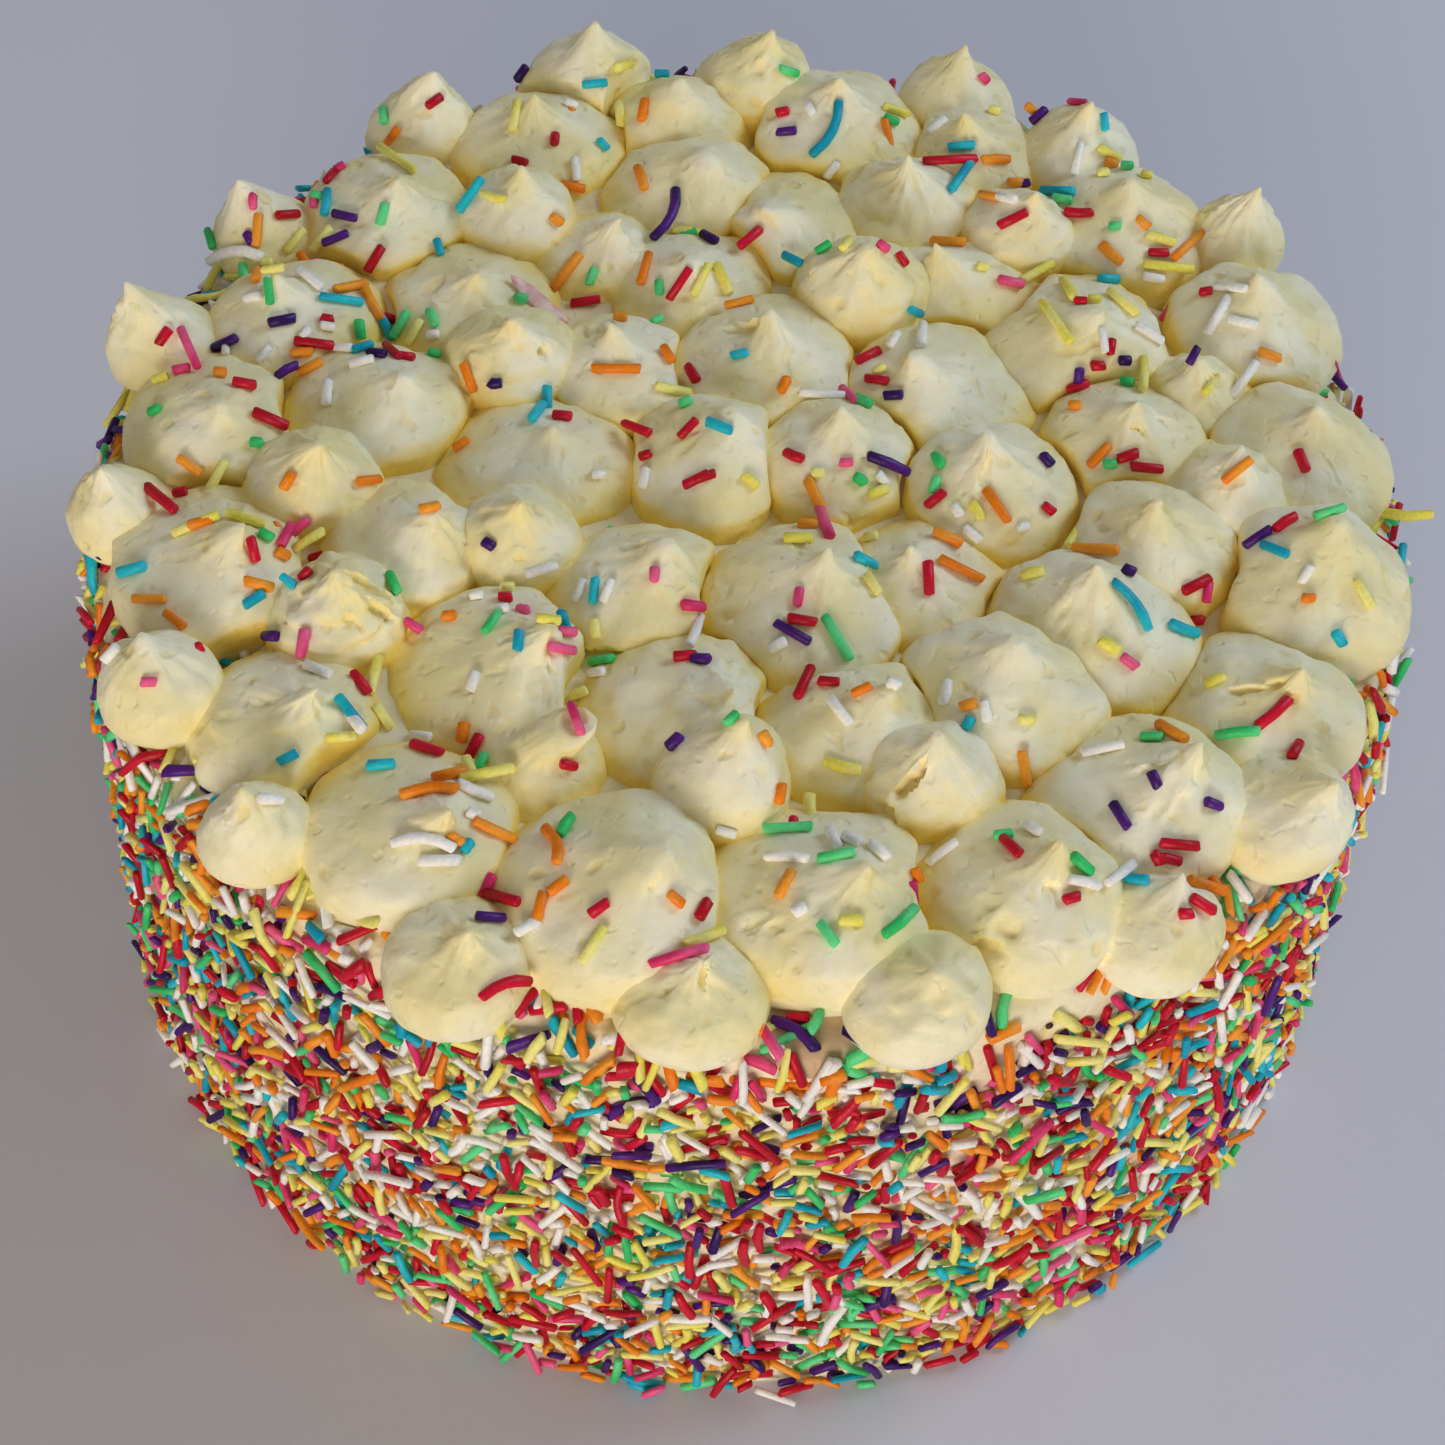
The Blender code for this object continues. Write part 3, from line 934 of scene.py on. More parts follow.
# The sprinkles strewn over the top: colour letter, place in the picture, apparent
# length, turn in degrees (clockwise from level) and c for a curved one.
STREWN = """
K655,576,15,90 K692,607,25,-3 W694,637,25,100 R685,659,24,-20 P702,662,18,30
G734,721,17,90 P676,744,20,-45 O763,739,12,40 O777,793,22,105 R778,816,14,-60
W727,830,21,15 G788,830,50,0 W833,840,20,80 W852,842,20,55 W878,853,26,55
G837,858,38,-3 W787,860,46,15 O786,885,32,108 W800,911,16,-25 O675,899,20,40
R702,910,22,-55 G827,935,30,60 Y850,921,25,0 G898,922,42,-42 K926,907,42,98
O914,876,16,60 Y703,937,45,-18 K680,959,62,-12 K798,598,18,100 R802,622,30,8
P792,633,42,32 G837,640,50,65 W778,645,20,-25 R807,684,36,65 R829,684,22,10
O863,692,22,-15 W892,687,15,10 W841,712,34,50 Y844,766,38,18 Y816,798,28,85
Y871,586,25,75 R927,580,33,90 O959,572,50,22 T864,563,24,-10 Y1033,576,24,-8
P1128,573,14,20 T1127,608,60,55c Y1109,647,24,30 K1128,663,20,38 W946,694,25,88
O969,706,18,-15 W985,712,22,80 T968,724,14,-60 Y1026,721,17,5 O1024,768,36,80
W1133,710,38,-25 W1103,752,44,0 G1153,740,22,30 P1121,817,30,60 P1157,770,18,60
G1004,837,20,-5 R1012,849,24,60 W1033,832,20,60 W945,855,38,-32 G1079,867,28,30
W1083,884,34,8 R1071,899,18,-20 W1118,875,33,-35 T1137,881,26,30 R1156,858,16,60
T134,572,28,0 O151,601,32,10 O176,621,24,40 O258,585,30,8 T272,587,18,45
T253,599,24,-30 R308,576,14,0 G390,588,22,100 R204,642,8,80 P274,637,16,10
K304,644,30,98 W318,674,28,48 R358,685,28,62 Y375,686,37,98 Y379,718,30,45
T350,716,42,55 K413,612,20,35 O450,618,14,0 W477,598,14,0 G493,625,26,95
R505,600,13,0 W503,612,12,10 K524,612,13,30 Y507,590,14,0 W560,583,32,-18
W581,592,24,100 T595,592,27,92 W610,592,25,98 T583,631,50,92 Y596,629,21,80
Y549,623,25,-25 K566,634,20,-15 K560,648,28,10 T519,641,22,92 G602,663,25,40
W598,675,16,30 W474,682,22,105 Y579,698,20,0 O464,733,21,95 W423,736,20,5
R427,751,32,40 R477,748,27,-70 K573,727,27,92 R567,763,16,30 G486,765,19,80
Y469,770,20,85 O450,777,35,-30 Y497,777,53,-15 O430,795,55,0c W473,792,38,5
T289,759,22,-30 T382,767,28,3 Y354,757,31,-60 W370,749,14,60 W268,801,25,-15
W424,847,62,5c W440,862,43,0 O457,838,18,30 T468,848,14,-60 W472,817,15,10
O493,832,48,10 O551,848,38,70c G568,828,25,95 O559,887,25,-40 O541,908,32,100
K491,887,26,-65 R504,898,32,15 P489,919,30,-15 R600,909,24,-35 Y593,946,42,-62
W518,940,20,-40 R504,989,53,-5c K149,681,16,0 W113,657,22,-35 R549,1012,42,2
P793,1037,55,40c G847,1067,38,35 R797,1068,35,70 W822,1073,38,105 P633,1106,50,-45c
R342,132,18,15 Y299,165,10,95 O297,183,25,95 R274,180,14,10 R285,182,14,20
P308,193,18,100 K316,202,12,60 T327,204,25,80 P346,217,24,20 K341,170,12,-30
R332,180,14,80 Y397,161,42,58 O394,136,20,-40 G383,215,22,105 R375,260,30,-60
P336,240,28,-25 Y294,241,28,-50 Y309,246,25,-50 O297,260,14,60 K321,254,12,0
O339,259,26,-35 W309,281,30,55 O350,289,32,-40 T341,302,44,-12 O371,305,38,75
R327,321,12,0 W327,329,15,0 G359,330,20,85 P282,322,28,-20 G270,292,26,80
Y274,272,22,5 G247,270,18,80 O257,278,12,80 Y266,261,12,0 W255,299,18,0
O258,230,34,95 K254,202,16,90 R286,216,22,-20 G306,209,10,0 P249,239,8,60
G213,239,18,35 W237,260,80,-5c R194,279,12,-30 W194,286,25,-30 R163,337,20,-55
P227,344,26,-8 W230,352,12,50 W264,354,20,-50 K197,364,24,65 K182,372,18,-20
Y161,381,16,0 O220,375,10,20 R244,386,24,0 P289,370,26,-30 O312,369,26,-5
R314,345,40,3 W305,335,14,-60 O302,355,22,-10 W342,351,20,60 R351,346,14,40
T364,350,22,-50 P377,356,18,50 R391,354,20,95 R404,359,20,10 W362,364,26,-10
T386,333,22,65 R390,322,12,0 G402,326,30,-65 Y416,332,28,-60 G433,320,16,70
W434,336,12,0 G434,356,12,0 W329,395,24,80 T436,247,18,80
G788,73,20,5 T824,131,75,115c R783,114,14,0 P787,133,20,0 W811,111,12,60
Y895,112,26,0 G890,122,16,10 W832,169,18,-60 O915,152,50,-25 W938,127,22,-50
T963,148,26,0 R954,167,55,-10 O995,162,28,-10 T955,182,24,-50 K982,79,10,20
Y994,113,12,10 O1013,116,20,20 Y1023,118,10,20 P1040,118,20,-40 K1078,105,18,55
T1102,122,18,95 W1078,160,30,100 Y1108,155,26,20 O1110,165,12,0 G1127,168,10,0
Y1103,175,12,0 Y1146,178,12,0 K1164,176,32,-45 P1178,179,16,15 O992,199,24,50
W1008,201,22,40 O1017,183,20,0 P1034,182,12,0 R1013,220,32,-25 T1058,193,34,25
G1065,204,18,20 R1079,216,28,5 G1115,228,8,0 O1142,224,16,40 O1112,254,28,45
Y1160,240,30,15 R1158,254,20,0 O1186,246,38,-35 Y1168,268,50,3 W1153,278,22,10
T1108,282,20,-35 Y1121,304,38,70 Y1068,292,24,85 R1081,304,12,60 Y1094,302,12,-30
K1156,298,18,-50 Y1035,267,42,-20 K1010,283,26,5 Y982,269,12,0 O949,244,34,30
R975,328,16,-20 T913,311,12,20 K881,249,14,10 R900,260,16,40 G825,250,18,-5
Y848,246,14,80 T791,266,26,40 R868,358,26,-50 W895,342,16,90 W922,340,22,90
Y880,372,14,-40 R877,382,24,25 P894,397,20,5 W820,396,45,3 K848,398,18,85
G862,404,20,50 O783,386,16,-70 Y1057,324,48,60 W1101,343,24,85 R1110,348,16,100
R1097,366,14,0 P1124,361,10,0 P1077,376,18,80 R1078,389,22,-20 W1148,335,32,25
G1127,384,14,30 Y1138,384,20,105 O1075,408,12,20 R1206,294,10,0 W1232,290,32,35
W1218,317,42,-65 W1243,323,30,15 O1269,356,24,20 W1247,378,45,-55 P1196,357,20,-55
Y1207,387,12,-30
R654,54,12,90 P524,75,18,-30 Y620,65,14,0 T662,77,15,-10 K501,95,20,45
R435,101,20,-35 G386,117,14,60 O575,95,30,-20 T586,103,25,-5 W570,107,14,0
Y517,117,30,85 Y622,115,24,70 O645,112,22,90 R554,141,11,100 T602,146,14,45
R520,163,16,20 W575,170,24,90 Y495,197,24,20 T472,197,40,-60 O572,187,26,10
O555,220,14,20 O641,180,22,75 P667,217,65,105c Y687,232,28,10 G689,233,18,0
P709,240,18,60 R744,252,20,-50 O567,272,45,-55 G592,277,18,-70 R586,302,30,-8
O646,270,32,90 R680,285,38,-55 Y700,280,36,-60 Y722,280,34,75 G660,289,14,80
O740,305,30,-5 G660,324,12,-40 G520,301,10,0 R693,375,18,60 O620,320,14,0
O667,356,18,75 O615,369,48,0 Y672,391,38,-3 G687,405,14,0 T560,397,26,75
T537,415,18,100 R562,419,20,5 R627,442,34,65 R647,457,12,0 W646,479,22,95
W598,476,12,0 R690,430,26,-45 T720,427,28,25 R697,480,30,-25 T740,356,18,-10
O470,377,32,75 P496,383,9,0 G589,521,30,-65 P490,544,14,30 O288,481,20,-60
O367,481,24,-15 O414,472,20,-15 O462,446,18,-40 R165,510,24,60 R181,495,14,0
R247,551,26,60 G265,537,16,20 Y197,527,50,-20 O202,525,26,-20 Y245,522,40,20
O284,520,14,90 K297,522,30,-40 K285,537,24,-60 R318,541,22,-25 O280,555,14,0
O430,510,22,-20 Y332,545,30,-20 O190,465,28,35 Y216,472,36,-60 R270,421,38,18
G157,411,12,0 G256,443,12,0
R705,477,22,-20 Y750,482,20,35 R795,457,20,35 Y817,475,12,0 K846,464,10,0
G858,481,12,30 P887,465,45,15 Y877,492,20,-20 W880,480,16,45 O815,495,34,65
K824,525,32,90 O807,527,20,0 Y800,540,28,5 Y872,539,14,20 G940,462,14,60
R937,501,24,-40 G937,485,18,-70 O997,507,38,60 Y975,512,20,60 W957,512,14,60
R1047,511,14,30 W1021,527,10,0 Y1060,530,44,-20 P1045,462,16,60 O947,540,32,30
W972,535,22,40 O1097,552,46,12 O1100,457,30,-50 R1127,457,22,-20 G1110,465,12,0
R1146,468,32,5 O1237,470,36,-40 R1302,462,24,70 P1259,540,32,-25 R1287,525,26,-50
T1277,551,26,30 G1331,515,32,15 R1195,585,30,-25 K1205,592,22,-70 R1196,619,12,0
T1182,631,32,0 W1306,575,20,-60 O1308,600,12,0 Y1362,595,32,65 T1338,638,18,55
Y1215,682,22,-20 G1240,735,42,0 R1272,713,44,-40 R1293,752,24,-55 O1172,735,34,65
P1211,806,20,5 R1178,843,36,8 R1165,860,30,8 O1206,889,38,-40 W1240,896,12,0
R1200,906,28,20 R1185,914,12,0 T1267,901,32,8 P1308,890,44,78
O1002,1031,36,-18 R1043,1052,24,70 Y1067,1021,29,48 P1108,1031,30,45
W1074,1055,55,-60 W1021,1060,40,80 R797,1020,24,-5 W778,1052,16,-20 W821,1077,48,105
T872,1075,14,0 O831,1089,30,90
"""


def strewn_rows():
    for word in STREWN.split():
        curved = word.endswith("c")
        px, py, length, turn = (float(v) for v in word[1:].rstrip("c").split(","))
        yield LETTERS[word[0]], px, py, length, turn, curved


def lay_down(tree, px, py, seen, turn, thick, longest, beside=(0.0,)):
    """Where a stiff crumb comes to rest that is seen at a point of the picture: its
    centre, its along, across and up directions, and its true length."""
    right, up, _ = camera_axes()
    origin, ray = camera_rays(px, py)
    hit, normal, _, far = tree.ray_cast(origin, ray)
    if hit is None:
        return None
    hit, n = np.array(hit), np.array(normal)
    t = math.radians(turn)
    flat = math.cos(t) * right - math.sin(t) * up
    d = flat - n * flat.dot(n)
    d /= np.linalg.norm(d)
    wanted = seen / (FOCAL_PIXELS / far)
    # a sprinkle that lies away from the eye is longer than it looks
    foreshort = max(0.45, math.sqrt(max(0.0, 1.0 - d.dot(np.array(ray)) ** 2)))
    length = min(longest, max(2.2, wanted / foreshort))
    half_len = length / 2 - 0.3
    side = np.cross(n, d)
    need, ts = [], np.linspace(-half_len, half_len, 7)
    for step in ts:
        highest = -3.0
        for aside in beside:
            start = Vector(hit + d * step + side * aside + n * 5.0)
            found = tree.ray_cast(start, Vector(-n), 9.0)
            if found[0] is not None:
                highest = max(highest, 5.0 - found[3])
        need.append(highest)
    need = np.array(need) + thick
    slopes = np.linspace(-0.6, 0.6, 25)
    rest = (need[None, :] - slopes[:, None] * ts[None, :]).max(axis=1)
    k = int(np.argmin(rest + 0.02 * np.abs(slopes)))
    lean = math.atan(slopes[k])
    along_dir = math.cos(lean) * d + math.sin(lean) * n
    up_dir = -math.sin(lean) * d + math.cos(lean) * n
    across_dir = np.cross(up_dir, along_dir)
    return hit + n * (rest[k] - 0.04), along_dir, across_dir, up_dir, length


def strew_top(field, tree):
    """Lay each sprinkle of the top down where it is seen, on what lies under it."""
    rng = random.Random(77)
    laid = 0
    for colour, px, py, seen, turn, curved in strewn_rows():
        found = lay_down(tree, px, py, seen, turn, ROD * 0.78, 11.5)
        if found is None:
            continue
        centre, along_dir, across_dir, up_dir, length = found
        bow = rng.uniform(-0.3, 0.3) if rng.random() < 0.35 else 0.0
        if curved:
            bow = 0.13 * length

        def place(along, across, lift, c=centre, a=along_dir, b=across_dir, w=up_dir):
            return c + along[:, None] * a + across[:, None] * b + lift[:, None] * w

        field.add(
            colour, place, length, ROD * rng.uniform(0.98, 1.16), bow, rng, STREWN_SIDES
        )
        laid += 1
    print("strewn sprinkles", laid)


def stick_out(field, tree):
    """One long sprinkle that stands out of the icing at the right, stuck in by one end."""
    origin, ray = camera_rays(1381, 512)
    hit = tree.ray_cast(origin, ray)[0]
    if hit is None:
        return
    root = np.array(hit + 1.5 * ray)
    origin, ray = (np.array(v) for v in camera_rays(1434, 514))
    tip = origin + ray * (root - origin).dot(ray)
    print("sticks out from", root.round(1), "to", tip.round(1))
    length = float(np.linalg.norm(tip - root))
    along_dir = (tip - root) / length
    up = np.array(camera_axes()[1])
    across_dir = up - along_dir * up.dot(along_dir)
    across_dir /= np.linalg.norm(across_dir)
    up_dir = np.cross(along_dir, across_dir)
    middle = 0.5 * (root + tip)

    def place(along, across, lift):
        return middle + along[:, None] * along_dir + across[:, None] * across_dir + lift[:, None] * up_dir

    field.add("yellow", place, length, ROD * 1.05, -0.5, random.Random(515), STREWN_SIDES)


def build_flake(tree, material):
    """A thin pale flake, pointed at both ends, that lies across two dollops."""
    thick = 0.28
    found = lay_down(tree, 538, 302, 73, 37.5, thick, 14.0, (-0.9, 0.0, 0.9))
    centre, d, e, n, length = found
    steps, rows = 28, 8
    points, quads = [], []
    for i in range(steps + 1):
        t = -1.0 + 2.0 * i / steps
        width = 1.5 * (1.0 - abs(t) ** 2.4) ** 0.8 + 0.10
        width *= 1.0 + 0.10 * noise.noise((t * 4.0, 3.0, 0.0))
        for k in range(rows):
            a = 2 * math.pi * k / rows
            across, lift = width * math.cos(a), thick * math.sin(a)
            lift += 0.35 * (t * t) + 0.12 * noise.noise((t * 5.0, across, 7.0))
            p = centre + d * (0.5 * length * t) + e * (across + 0.25 * t * t) + n * lift
            points.append(tuple(p))
    for i in range(steps):
        for k in range(rows):
            j = (k + 1) % rows
            quads.append((i * rows + k, i * rows + j, (i + 1) * rows + j, (i + 1) * rows + k))
    tris = []
    for base, turn in ((0, False), (steps * rows, True)):
        ring = np.array(points[base : base + rows])
        points.append(tuple(ring.mean(0)))
        for k in range(rows):
            j = (k + 1) % rows
            a, b = (base + k, base + j) if turn else (base + j, base + k)
            tris.append((a, b, len(points) - 1))
    quads = np.array(quads)
    return mesh_object("pale_flake", points, quads, tris, material)


def build_speck(tree, material):
    """A dark crumb on the bare icing of the rim."""
    centre, d, e, n, _ = lay_down(tree, 1048.6, 1024.8, 6, 10, 0.26, 2.4)
    points, quads, tris = [], [], []
    rings, sides = 6, 9
    for i in range(rings):
        b = math.pi * (i + 0.7) / (rings + 0.4)
        for k in range(sides):
            a = 2 * math.pi * k / sides
            v = (math.cos(b), math.sin(b) * math.cos(a), math.sin(b) * math.sin(a))
            size = 1.0 + 0.35 * noise.noise((v[0] * 1.7, v[1] * 1.7, v[2] * 1.7 + 5.0))
            p = centre + d * (0.66 * size * v[0]) + e * (0.46 * size * v[1])
            points.append(tuple(p + n * (0.34 * size * v[2])))
    for i in range(rings - 1):
        for k in range(sides):
            j = (k + 1) % sides
            quads.append((i * sides + k, i * sides + j, (i + 1) * sides + j, (i + 1) * sides + k))
    for base, turn in ((0, False), ((rings - 1) * sides, True)):
        points.append(tuple(np.array(points[base : base + sides]).mean(0)))
        for k in range(sides):
            j = (k + 1) % sides
            a, b = (base + k, base + j) if turn else (base + j, base + k)
            tris.append((a, b, len(points) - 1))
    return mesh_object("dark_crumb", points, quads, tris, material)


# ----------------------------------------------------------------- materials
def srgb(r, g, b):
    """A colour given as 0-255 display values, as the shader's linear colour."""
    out = []
    for c in (r, g, b):
        c /= 255.0
        out.append(c / 12.92 if c <= 0.04045 else ((c + 0.055) / 1.055) ** 2.4)
    return (*out, 1.0)


class Shade:
    """A small helper to wire node materials."""

    def __init__(self, name):
        self.material = bpy.data.materials.new(name)
        self.material.use_nodes = True
        self.tree = self.material.node_tree
        self.shader = self.tree.nodes["Principled BSDF"]
        self.coords = self.tree.nodes.new("ShaderNodeTexCoord")

    def node(self, kind, **values):
        made = self.tree.nodes.new(kind)
        for key, value in values.items():
            if hasattr(made, key):
                setattr(made, key, value)
            else:
                made.inputs[key.replace("_", " ")].default_value = value
        return made

    def link(self, source, target):
        self.tree.links.new(source, target)

    def noise(self, scale, detail=3.0, rough=0.5):
        made = self.node("ShaderNodeTexNoise")
        made.inputs["Scale"].default_value = scale
        made.inputs["Detail"].default_value = detail
        made.inputs["Roughness"].default_value = rough
        self.link(self.coords.outputs["Object"], made.inputs["Vector"])
        return made

    def ramp(self, source, stops, mode="EASE"):
        made = self.node("ShaderNodeValToRGB")
        made.color_ramp.interpolation = mode
        while len(made.color_ramp.elements) < len(stops):
            made.color_ramp.elements.new(0.5)
        for element, (place, colour) in zip(made.color_ramp.elements, stops):
            element.position = place
            if not isinstance(colour, tuple):
                colour = (colour, colour, colour, 1.0)
            element.color = colour
        self.link(source, made.inputs["Fac"])
        return made

    def math(self, operation, a, b=None, c=None, clamp=False):
        made = self.node("ShaderNodeMath")
        made.operation = operation
        made.use_clamp = clamp
        for i, value in enumerate((a, b, c)):
            if value is None:
                continue
            if isinstance(value, (int, float)):
                made.inputs[i].default_value = value
            else:
                self.link(value, made.inputs[i])
        return made.outputs[0]

    def mix(self, factor, a, b):
        made = self.node("ShaderNodeMix")
        made.data_type = "RGBA"
        for socket, value in ((made.inputs[0], factor), (made.inputs[6], a), (made.inputs[7], b)):
            if isinstance(value, (int, float, tuple)):
                socket.default_value = value
            else:
                self.link(value, socket)
        return made.outputs[2]


def pits(shade, scale, low, high):
    """Popped air bubbles: round dips scattered over the cream, as a depth from 0 to 1."""
    cells = shade.noise(scale, 0.0, 0.5)
    return shade.ramp(cells.outputs["Fac"], [(low, 0.0), (high, 1.0)]).outputs["Color"]


CREAM_LIGHT, CREAM_DEEP = (250, 247, 222), (246, 236, 182)
PAINTED_SHADE_YELLOW = (246, 220, 112)  # painted shade: the deeper yellow painted into the creases between dollops, onto their upright sides and into the bubble dips
SIDE_LIGHT, SIDE_DEEP = (248, 241, 212), (242, 230, 186)
STAIN = (196, 158, 116)
SOFT = 0.35


def buttercream(name, light, deep, pit_depth=1.0, subsurface=0.35, painted_seam_shade=False, marks=False):
    sh = Shade(name)
    patches = sh.noise(75.0, 1.0, 0.5)
    fine = sh.noise(430.0, 2.0, 0.6)
    tone = sh.ramp(patches.outputs["Fac"], [(0.30, deep), (0.68, light)]).outputs["Color"]
    if painted_seam_shade:
        # painted shade: the cream is painted a deeper yellow where it lies low between the dollops,
        # standing in for the light that scatters through the cream in the creases
        split = sh.node("ShaderNodeSeparateXYZ")
        sh.link(sh.coords.outputs["Object"], split.inputs[0])
        level = sh.math("MULTIPLY_ADD", split.outputs[2], 1000.0 / 13.0, -RIM_HEIGHT / 13.0)
        low = sh.ramp(level, [(0.16, 0.22), (0.40, 0.80), (0.74, 0.0)])
        # painted shade by facing: the steeper a side of the cream, the deeper the yellow painted on it
        facing = sh.node("ShaderNodeSeparateXYZ")
        sh.link(sh.coords.outputs["Normal"], facing.inputs[0])
        steep = sh.ramp(facing.outputs[2], [(0.20, 0.40), (0.85, 0.0)])
        seam_shade_mask = sh.math("ADD", low.outputs["Color"], steep.outputs["Color"], clamp=True)
        # along the open rim, away from neighbours, the painted shade fades out and the cream stays pale
        flat = sh.node("ShaderNodeVectorMath", operation="MULTIPLY")
        sh.link(sh.coords.outputs["Object"], flat.inputs[0])
        flat.inputs[1].default_value = (10.0, 10.0, 0.0)
        reach = sh.node("ShaderNodeVectorMath", operation="LENGTH")
        sh.link(flat.outputs["Vector"], reach.inputs[0])
        inside = sh.ramp(reach.outputs["Value"], [(0.84, 1.0), (0.98, 0.16)])
        seam_shade_mask = sh.math("MULTIPLY", seam_shade_mask, inside.outputs["Color"])
        tone = sh.mix(seam_shade_mask, tone, srgb(*PAINTED_SHADE_YELLOW))
    if marks:
        # a brown smear on the bare icing of the rim
        x, y = on_plane(815, 1032, RIM_HEIGHT)
        apart = sh.node("ShaderNodeVectorMath", operation="DISTANCE")
        sh.link(sh.coords.outputs["Object"], apart.inputs[0])
        apart.inputs[1].default_value = (x * MM, y * MM, RIM_HEIGHT * MM)
        reach = sh.math("MULTIPLY", apart.outputs["Value"], 1.0 / 0.011)
        ragged = sh.noise(260.0, 2.0, 0.6)
        reach = sh.math("MULTIPLY_ADD", ragged.outputs["Fac"], 0.9, reach)
        smear = sh.ramp(reach, [(0.90, 0.75), (1.0, 0.0)])
        tone = sh.mix(smear.outputs["Color"], tone, srgb(*STAIN))
    small = pits(sh, 560.0, 0.66, 0.86)
    popped = pits(sh, 290.0, 0.68, 0.88)
    # painted shade: the dips of the popped bubbles are painted a deeper yellow inside
    painted_pit_shade = sh.math("MULTIPLY", popped, 0.45)
    tone = sh.mix(painted_pit_shade, tone, srgb(*PAINTED_SHADE_YELLOW))
    speck = sh.ramp(fine.outputs["Fac"], [(0.28, (0.92, 0.90, 0.82, 1.0)), (0.60, (1.0, 1.0, 1.0, 1.0))])
    made = sh.node("ShaderNodeMix")
    made.data_type = "RGBA"
    made.blend_type = "MULTIPLY"
    made.inputs[0].default_value = 0.5
    sh.link(tone, made.inputs[6])
    sh.link(speck.outputs["Color"], made.inputs[7])
    sh.link(made.outputs[2], sh.shader.inputs["Base Color"])
    sh.shader.inputs["Roughness"].default_value = 0.55
    height = sh.math("MULTIPLY", fine.outputs["Fac"], 0.75)
    height = sh.math("MULTIPLY_ADD", small, -0.70 * pit_depth, height)
    height = sh.math("MULTIPLY_ADD", popped, -1.35 * pit_depth, height)
    if marks:
        # strokes of the spatula, which ran along the rim
        along = sh.node("ShaderNodeVectorMath", operation="MULTIPLY")
        sh.link(sh.coords.outputs["Object"], along.inputs[0])
        along.inputs[1].default_value = (0.12, 1.0, 0.6)
        strokes = sh.noise(760.0, 1.0, 0.5)
        sh.link(along.outputs["Vector"], strokes.inputs["Vector"])
        height = sh.math("MULTIPLY_ADD", strokes.outputs["Fac"], 0.8, height)
    bump = sh.node("ShaderNodeBump")
    bump.inputs["Strength"].default_value = 0.60
    bump.inputs["Distance"].default_value = 0.00045
    sh.link(height, bump.inputs["Height"])
    sh.link(bump.outputs["Normal"], sh.shader.inputs["Normal"])
    if subsurface:
        sh.shader.subsurface_method = "BURLEY"
        sh.shader.inputs["Subsurface Weight"].default_value = subsurface
        sh.shader.inputs["Subsurface Radius"].default_value = (1.0, 0.78, 0.34)
        sh.shader.inputs["Subsurface Scale"].default_value = 0.0026
    sh.shader.inputs["Specular IOR Level"].default_value = 0.40
    return sh.material


SPRINKLE_TONES = {
    "red": ((186, 0, 32), (214, 8, 50)),
    "orange": ((248, 134, 14), (255, 166, 46)),
    "yellow": ((246, 236, 100), (252, 246, 148)),
    "green": ((50, 204, 110), (104, 232, 152)),
    "turquoise": ((0, 164, 198), (34, 200, 222)),
    "purple": ((48, 6, 92), (82, 22, 128)),
    "pink": ((226, 50, 112), (246, 98, 152)),
    "white": ((248, 247, 244), (255, 255, 252)),
}


def sprinkle_material(colour):
    dark, light = SPRINKLE_TONES[colour]
    sh = Shade("sprinkle_" + colour)
    each = sh.noise(150.0, 0.0, 0.5)
    grain = sh.noise(1500.0, 0.0, 0.6)
    tone = sh.ramp(each.outputs["Fac"], [(0.34, srgb(*dark)), (0.64, srgb(*light))])
    dust = sh.ramp(grain.outputs["Fac"], [(0.35, 0.90), (0.66, 1.0)])
    made = sh.node("ShaderNodeMix")
    made.data_type = "RGBA"
    made.blend_type = "MULTIPLY"
    made.inputs[0].default_value = 0.8
    sh.link(tone.outputs["Color"], made.inputs[6])
    sh.link(dust.outputs["Color"], made.inputs[7])
    sh.link(made.outputs[2], sh.shader.inputs["Base Color"])
    sh.shader.inputs["Roughness"].default_value = 0.42
    bump = sh.node("ShaderNodeBump")
    bump.inputs["Strength"].default_value = 0.6
    bump.inputs["Distance"].default_value = 0.00014
    sh.link(grain.outputs["Fac"], bump.inputs["Height"])
    sh.link(bump.outputs["Normal"], sh.shader.inputs["Normal"])
    sh.shader.inputs["Specular IOR Level"].default_value = 0.30
    return sh.material


def crumb_material(name, dark, light, scale, rough):
    """A small loose piece: two tones in soft streaks, and a slightly uneven skin."""
    sh = Shade(name)
    streaks = sh.noise(scale, 2.0, 0.55)
    grain = sh.noise(1700.0, 1.0, 0.6)
    tone = sh.ramp(streaks.outputs["Fac"], [(0.36, srgb(*dark)), (0.62, srgb(*light))])
    sh.link(tone.outputs["Color"], sh.shader.inputs["Base Color"])
    sh.shader.inputs["Roughness"].default_value = rough
    bump = sh.node("ShaderNodeBump")
    bump.inputs["Strength"].default_value = 0.6
    bump.inputs["Distance"].default_value = 0.00015
    sh.link(grain.outputs["Fac"], bump.inputs["Height"])
    sh.link(bump.outputs["Normal"], sh.shader.inputs["Normal"])
    return sh.material


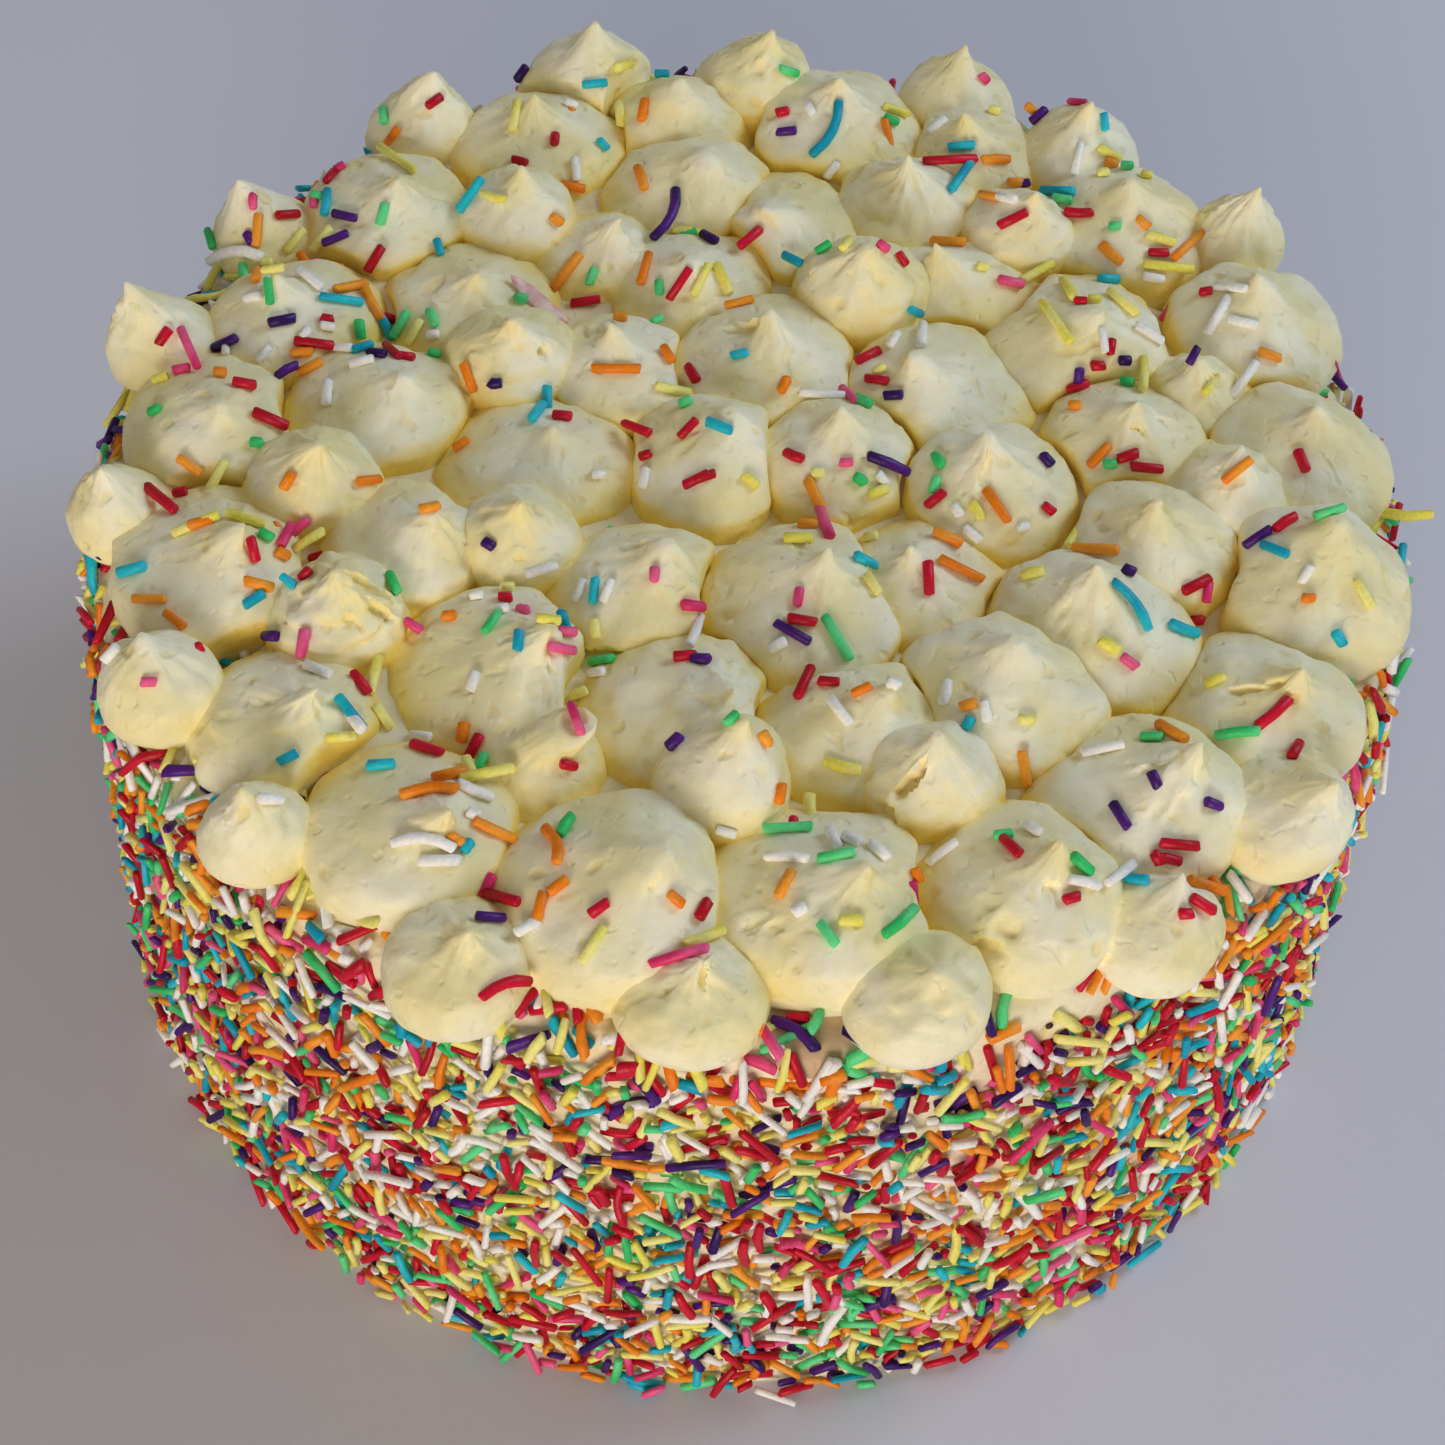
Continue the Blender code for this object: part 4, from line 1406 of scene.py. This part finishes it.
# --------------------------------------------------------------------- stage
def build_stage():
    sh = Shade("pale_floor")
    soft = sh.noise(3.0, 3.0, 0.5)
    tone = sh.ramp(soft.outputs["Fac"], [(0.3, srgb(212, 214, 230)), (0.7, srgb(217, 219, 234))])
    sh.link(tone.outputs["Color"], sh.shader.inputs["Base Color"])
    sh.shader.inputs["Roughness"].default_value = 0.8
    mesh = bpy.data.meshes.new("floor")
    s = 4.0
    mesh.from_pydata(
        [(-s, -s, 0), (s, -s, 0), (s, s, 0), (-s, s, 0)], [], [(0, 1, 2, 3)]
    )
    mesh.materials.append(sh.material)
    floor = bpy.data.objects.new("floor", mesh)
    bpy.context.scene.collection.objects.link(floor)
    floor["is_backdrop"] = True


def area_light(name, place, target, size, power, colour):
    data = bpy.data.lights.new(name, "AREA")
    data.shape = "RECTANGLE"
    data.size, data.size_y = size
    data.energy = power
    data.color = colour
    obj = bpy.data.objects.new(name, data)
    obj.location = place
    obj.rotation_mode = "QUATERNION"
    obj.rotation_quaternion = (Vector(target) - Vector(place)).to_track_quat("-Z", "Y")
    bpy.context.scene.collection.objects.link(obj)


def build_light():
    world = bpy.data.worlds.new("soft_room")
    world.use_nodes = True
    back = world.node_tree.nodes["Background"]
    back.inputs["Color"].default_value = (1.0, 0.93, 0.84, 1.0)
    back.inputs["Strength"].default_value = 0.26
    bpy.context.scene.world = world
    area_light("window", (1.3, 0.6, 1.2), (0, 0, 0.08), (0.8, 0.7), 13.0, (0.68, 0.83, 1.0))
    area_light("room", (-0.3, -3.0, 0.70), (0, 0, 0.05), (1.8, 1.2), 58.5, (1.0, 0.89, 0.78))


# ---------------------------------------------------------------------- build
make_camera()
build_stage()
build_light()

cream = buttercream(
    "buttercream", srgb(*CREAM_LIGHT), srgb(*CREAM_DEEP), 1.0, SOFT, painted_seam_shade=True
)
side_cream = buttercream(
    "side_icing", srgb(*SIDE_LIGHT), srgb(*SIDE_DEEP), 0.6, 0.0, marks=True
)
side_curve = SideCurve()
core, core_arrays = build_core(side_curve, side_cream)
dollop_parts = press_dents(dollop_arrays())
dollops = build_dollops(dollop_parts, cream)
top_tree = tree_of(*joined(dollop_parts + [core_arrays]))

rods = RodField()
coat_side(rods, side_curve)
strew_top(rods, top_tree)
stick_out(rods, top_tree)
sprinkle_mats = {c: sprinkle_material(c) for c in COLOUR_NAMES}
sprinkle_objects = rods.build(sprinkle_mats)
flake = build_flake(
    top_tree, crumb_material("flake", (232, 176, 176), (246, 218, 212), 420.0, 0.45)
)
speck = build_speck(
    top_tree, crumb_material("crumb", (40, 22, 14), (74, 44, 28), 900.0, 0.7)
)

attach(core, "root")
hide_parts("cake_body")
for obj in dollops:
    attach(obj, "root")
    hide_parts("piped_icing_top")
for obj in sprinkle_objects + [flake, speck]:
    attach(obj, "root")

bpy.context.scene.view_settings.view_transform = "Standard"

counts = {o.name: sum(len(p.vertices) - 2 for p in o.data.polygons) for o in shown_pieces()}
print("triangles", counts, sum(counts.values()))
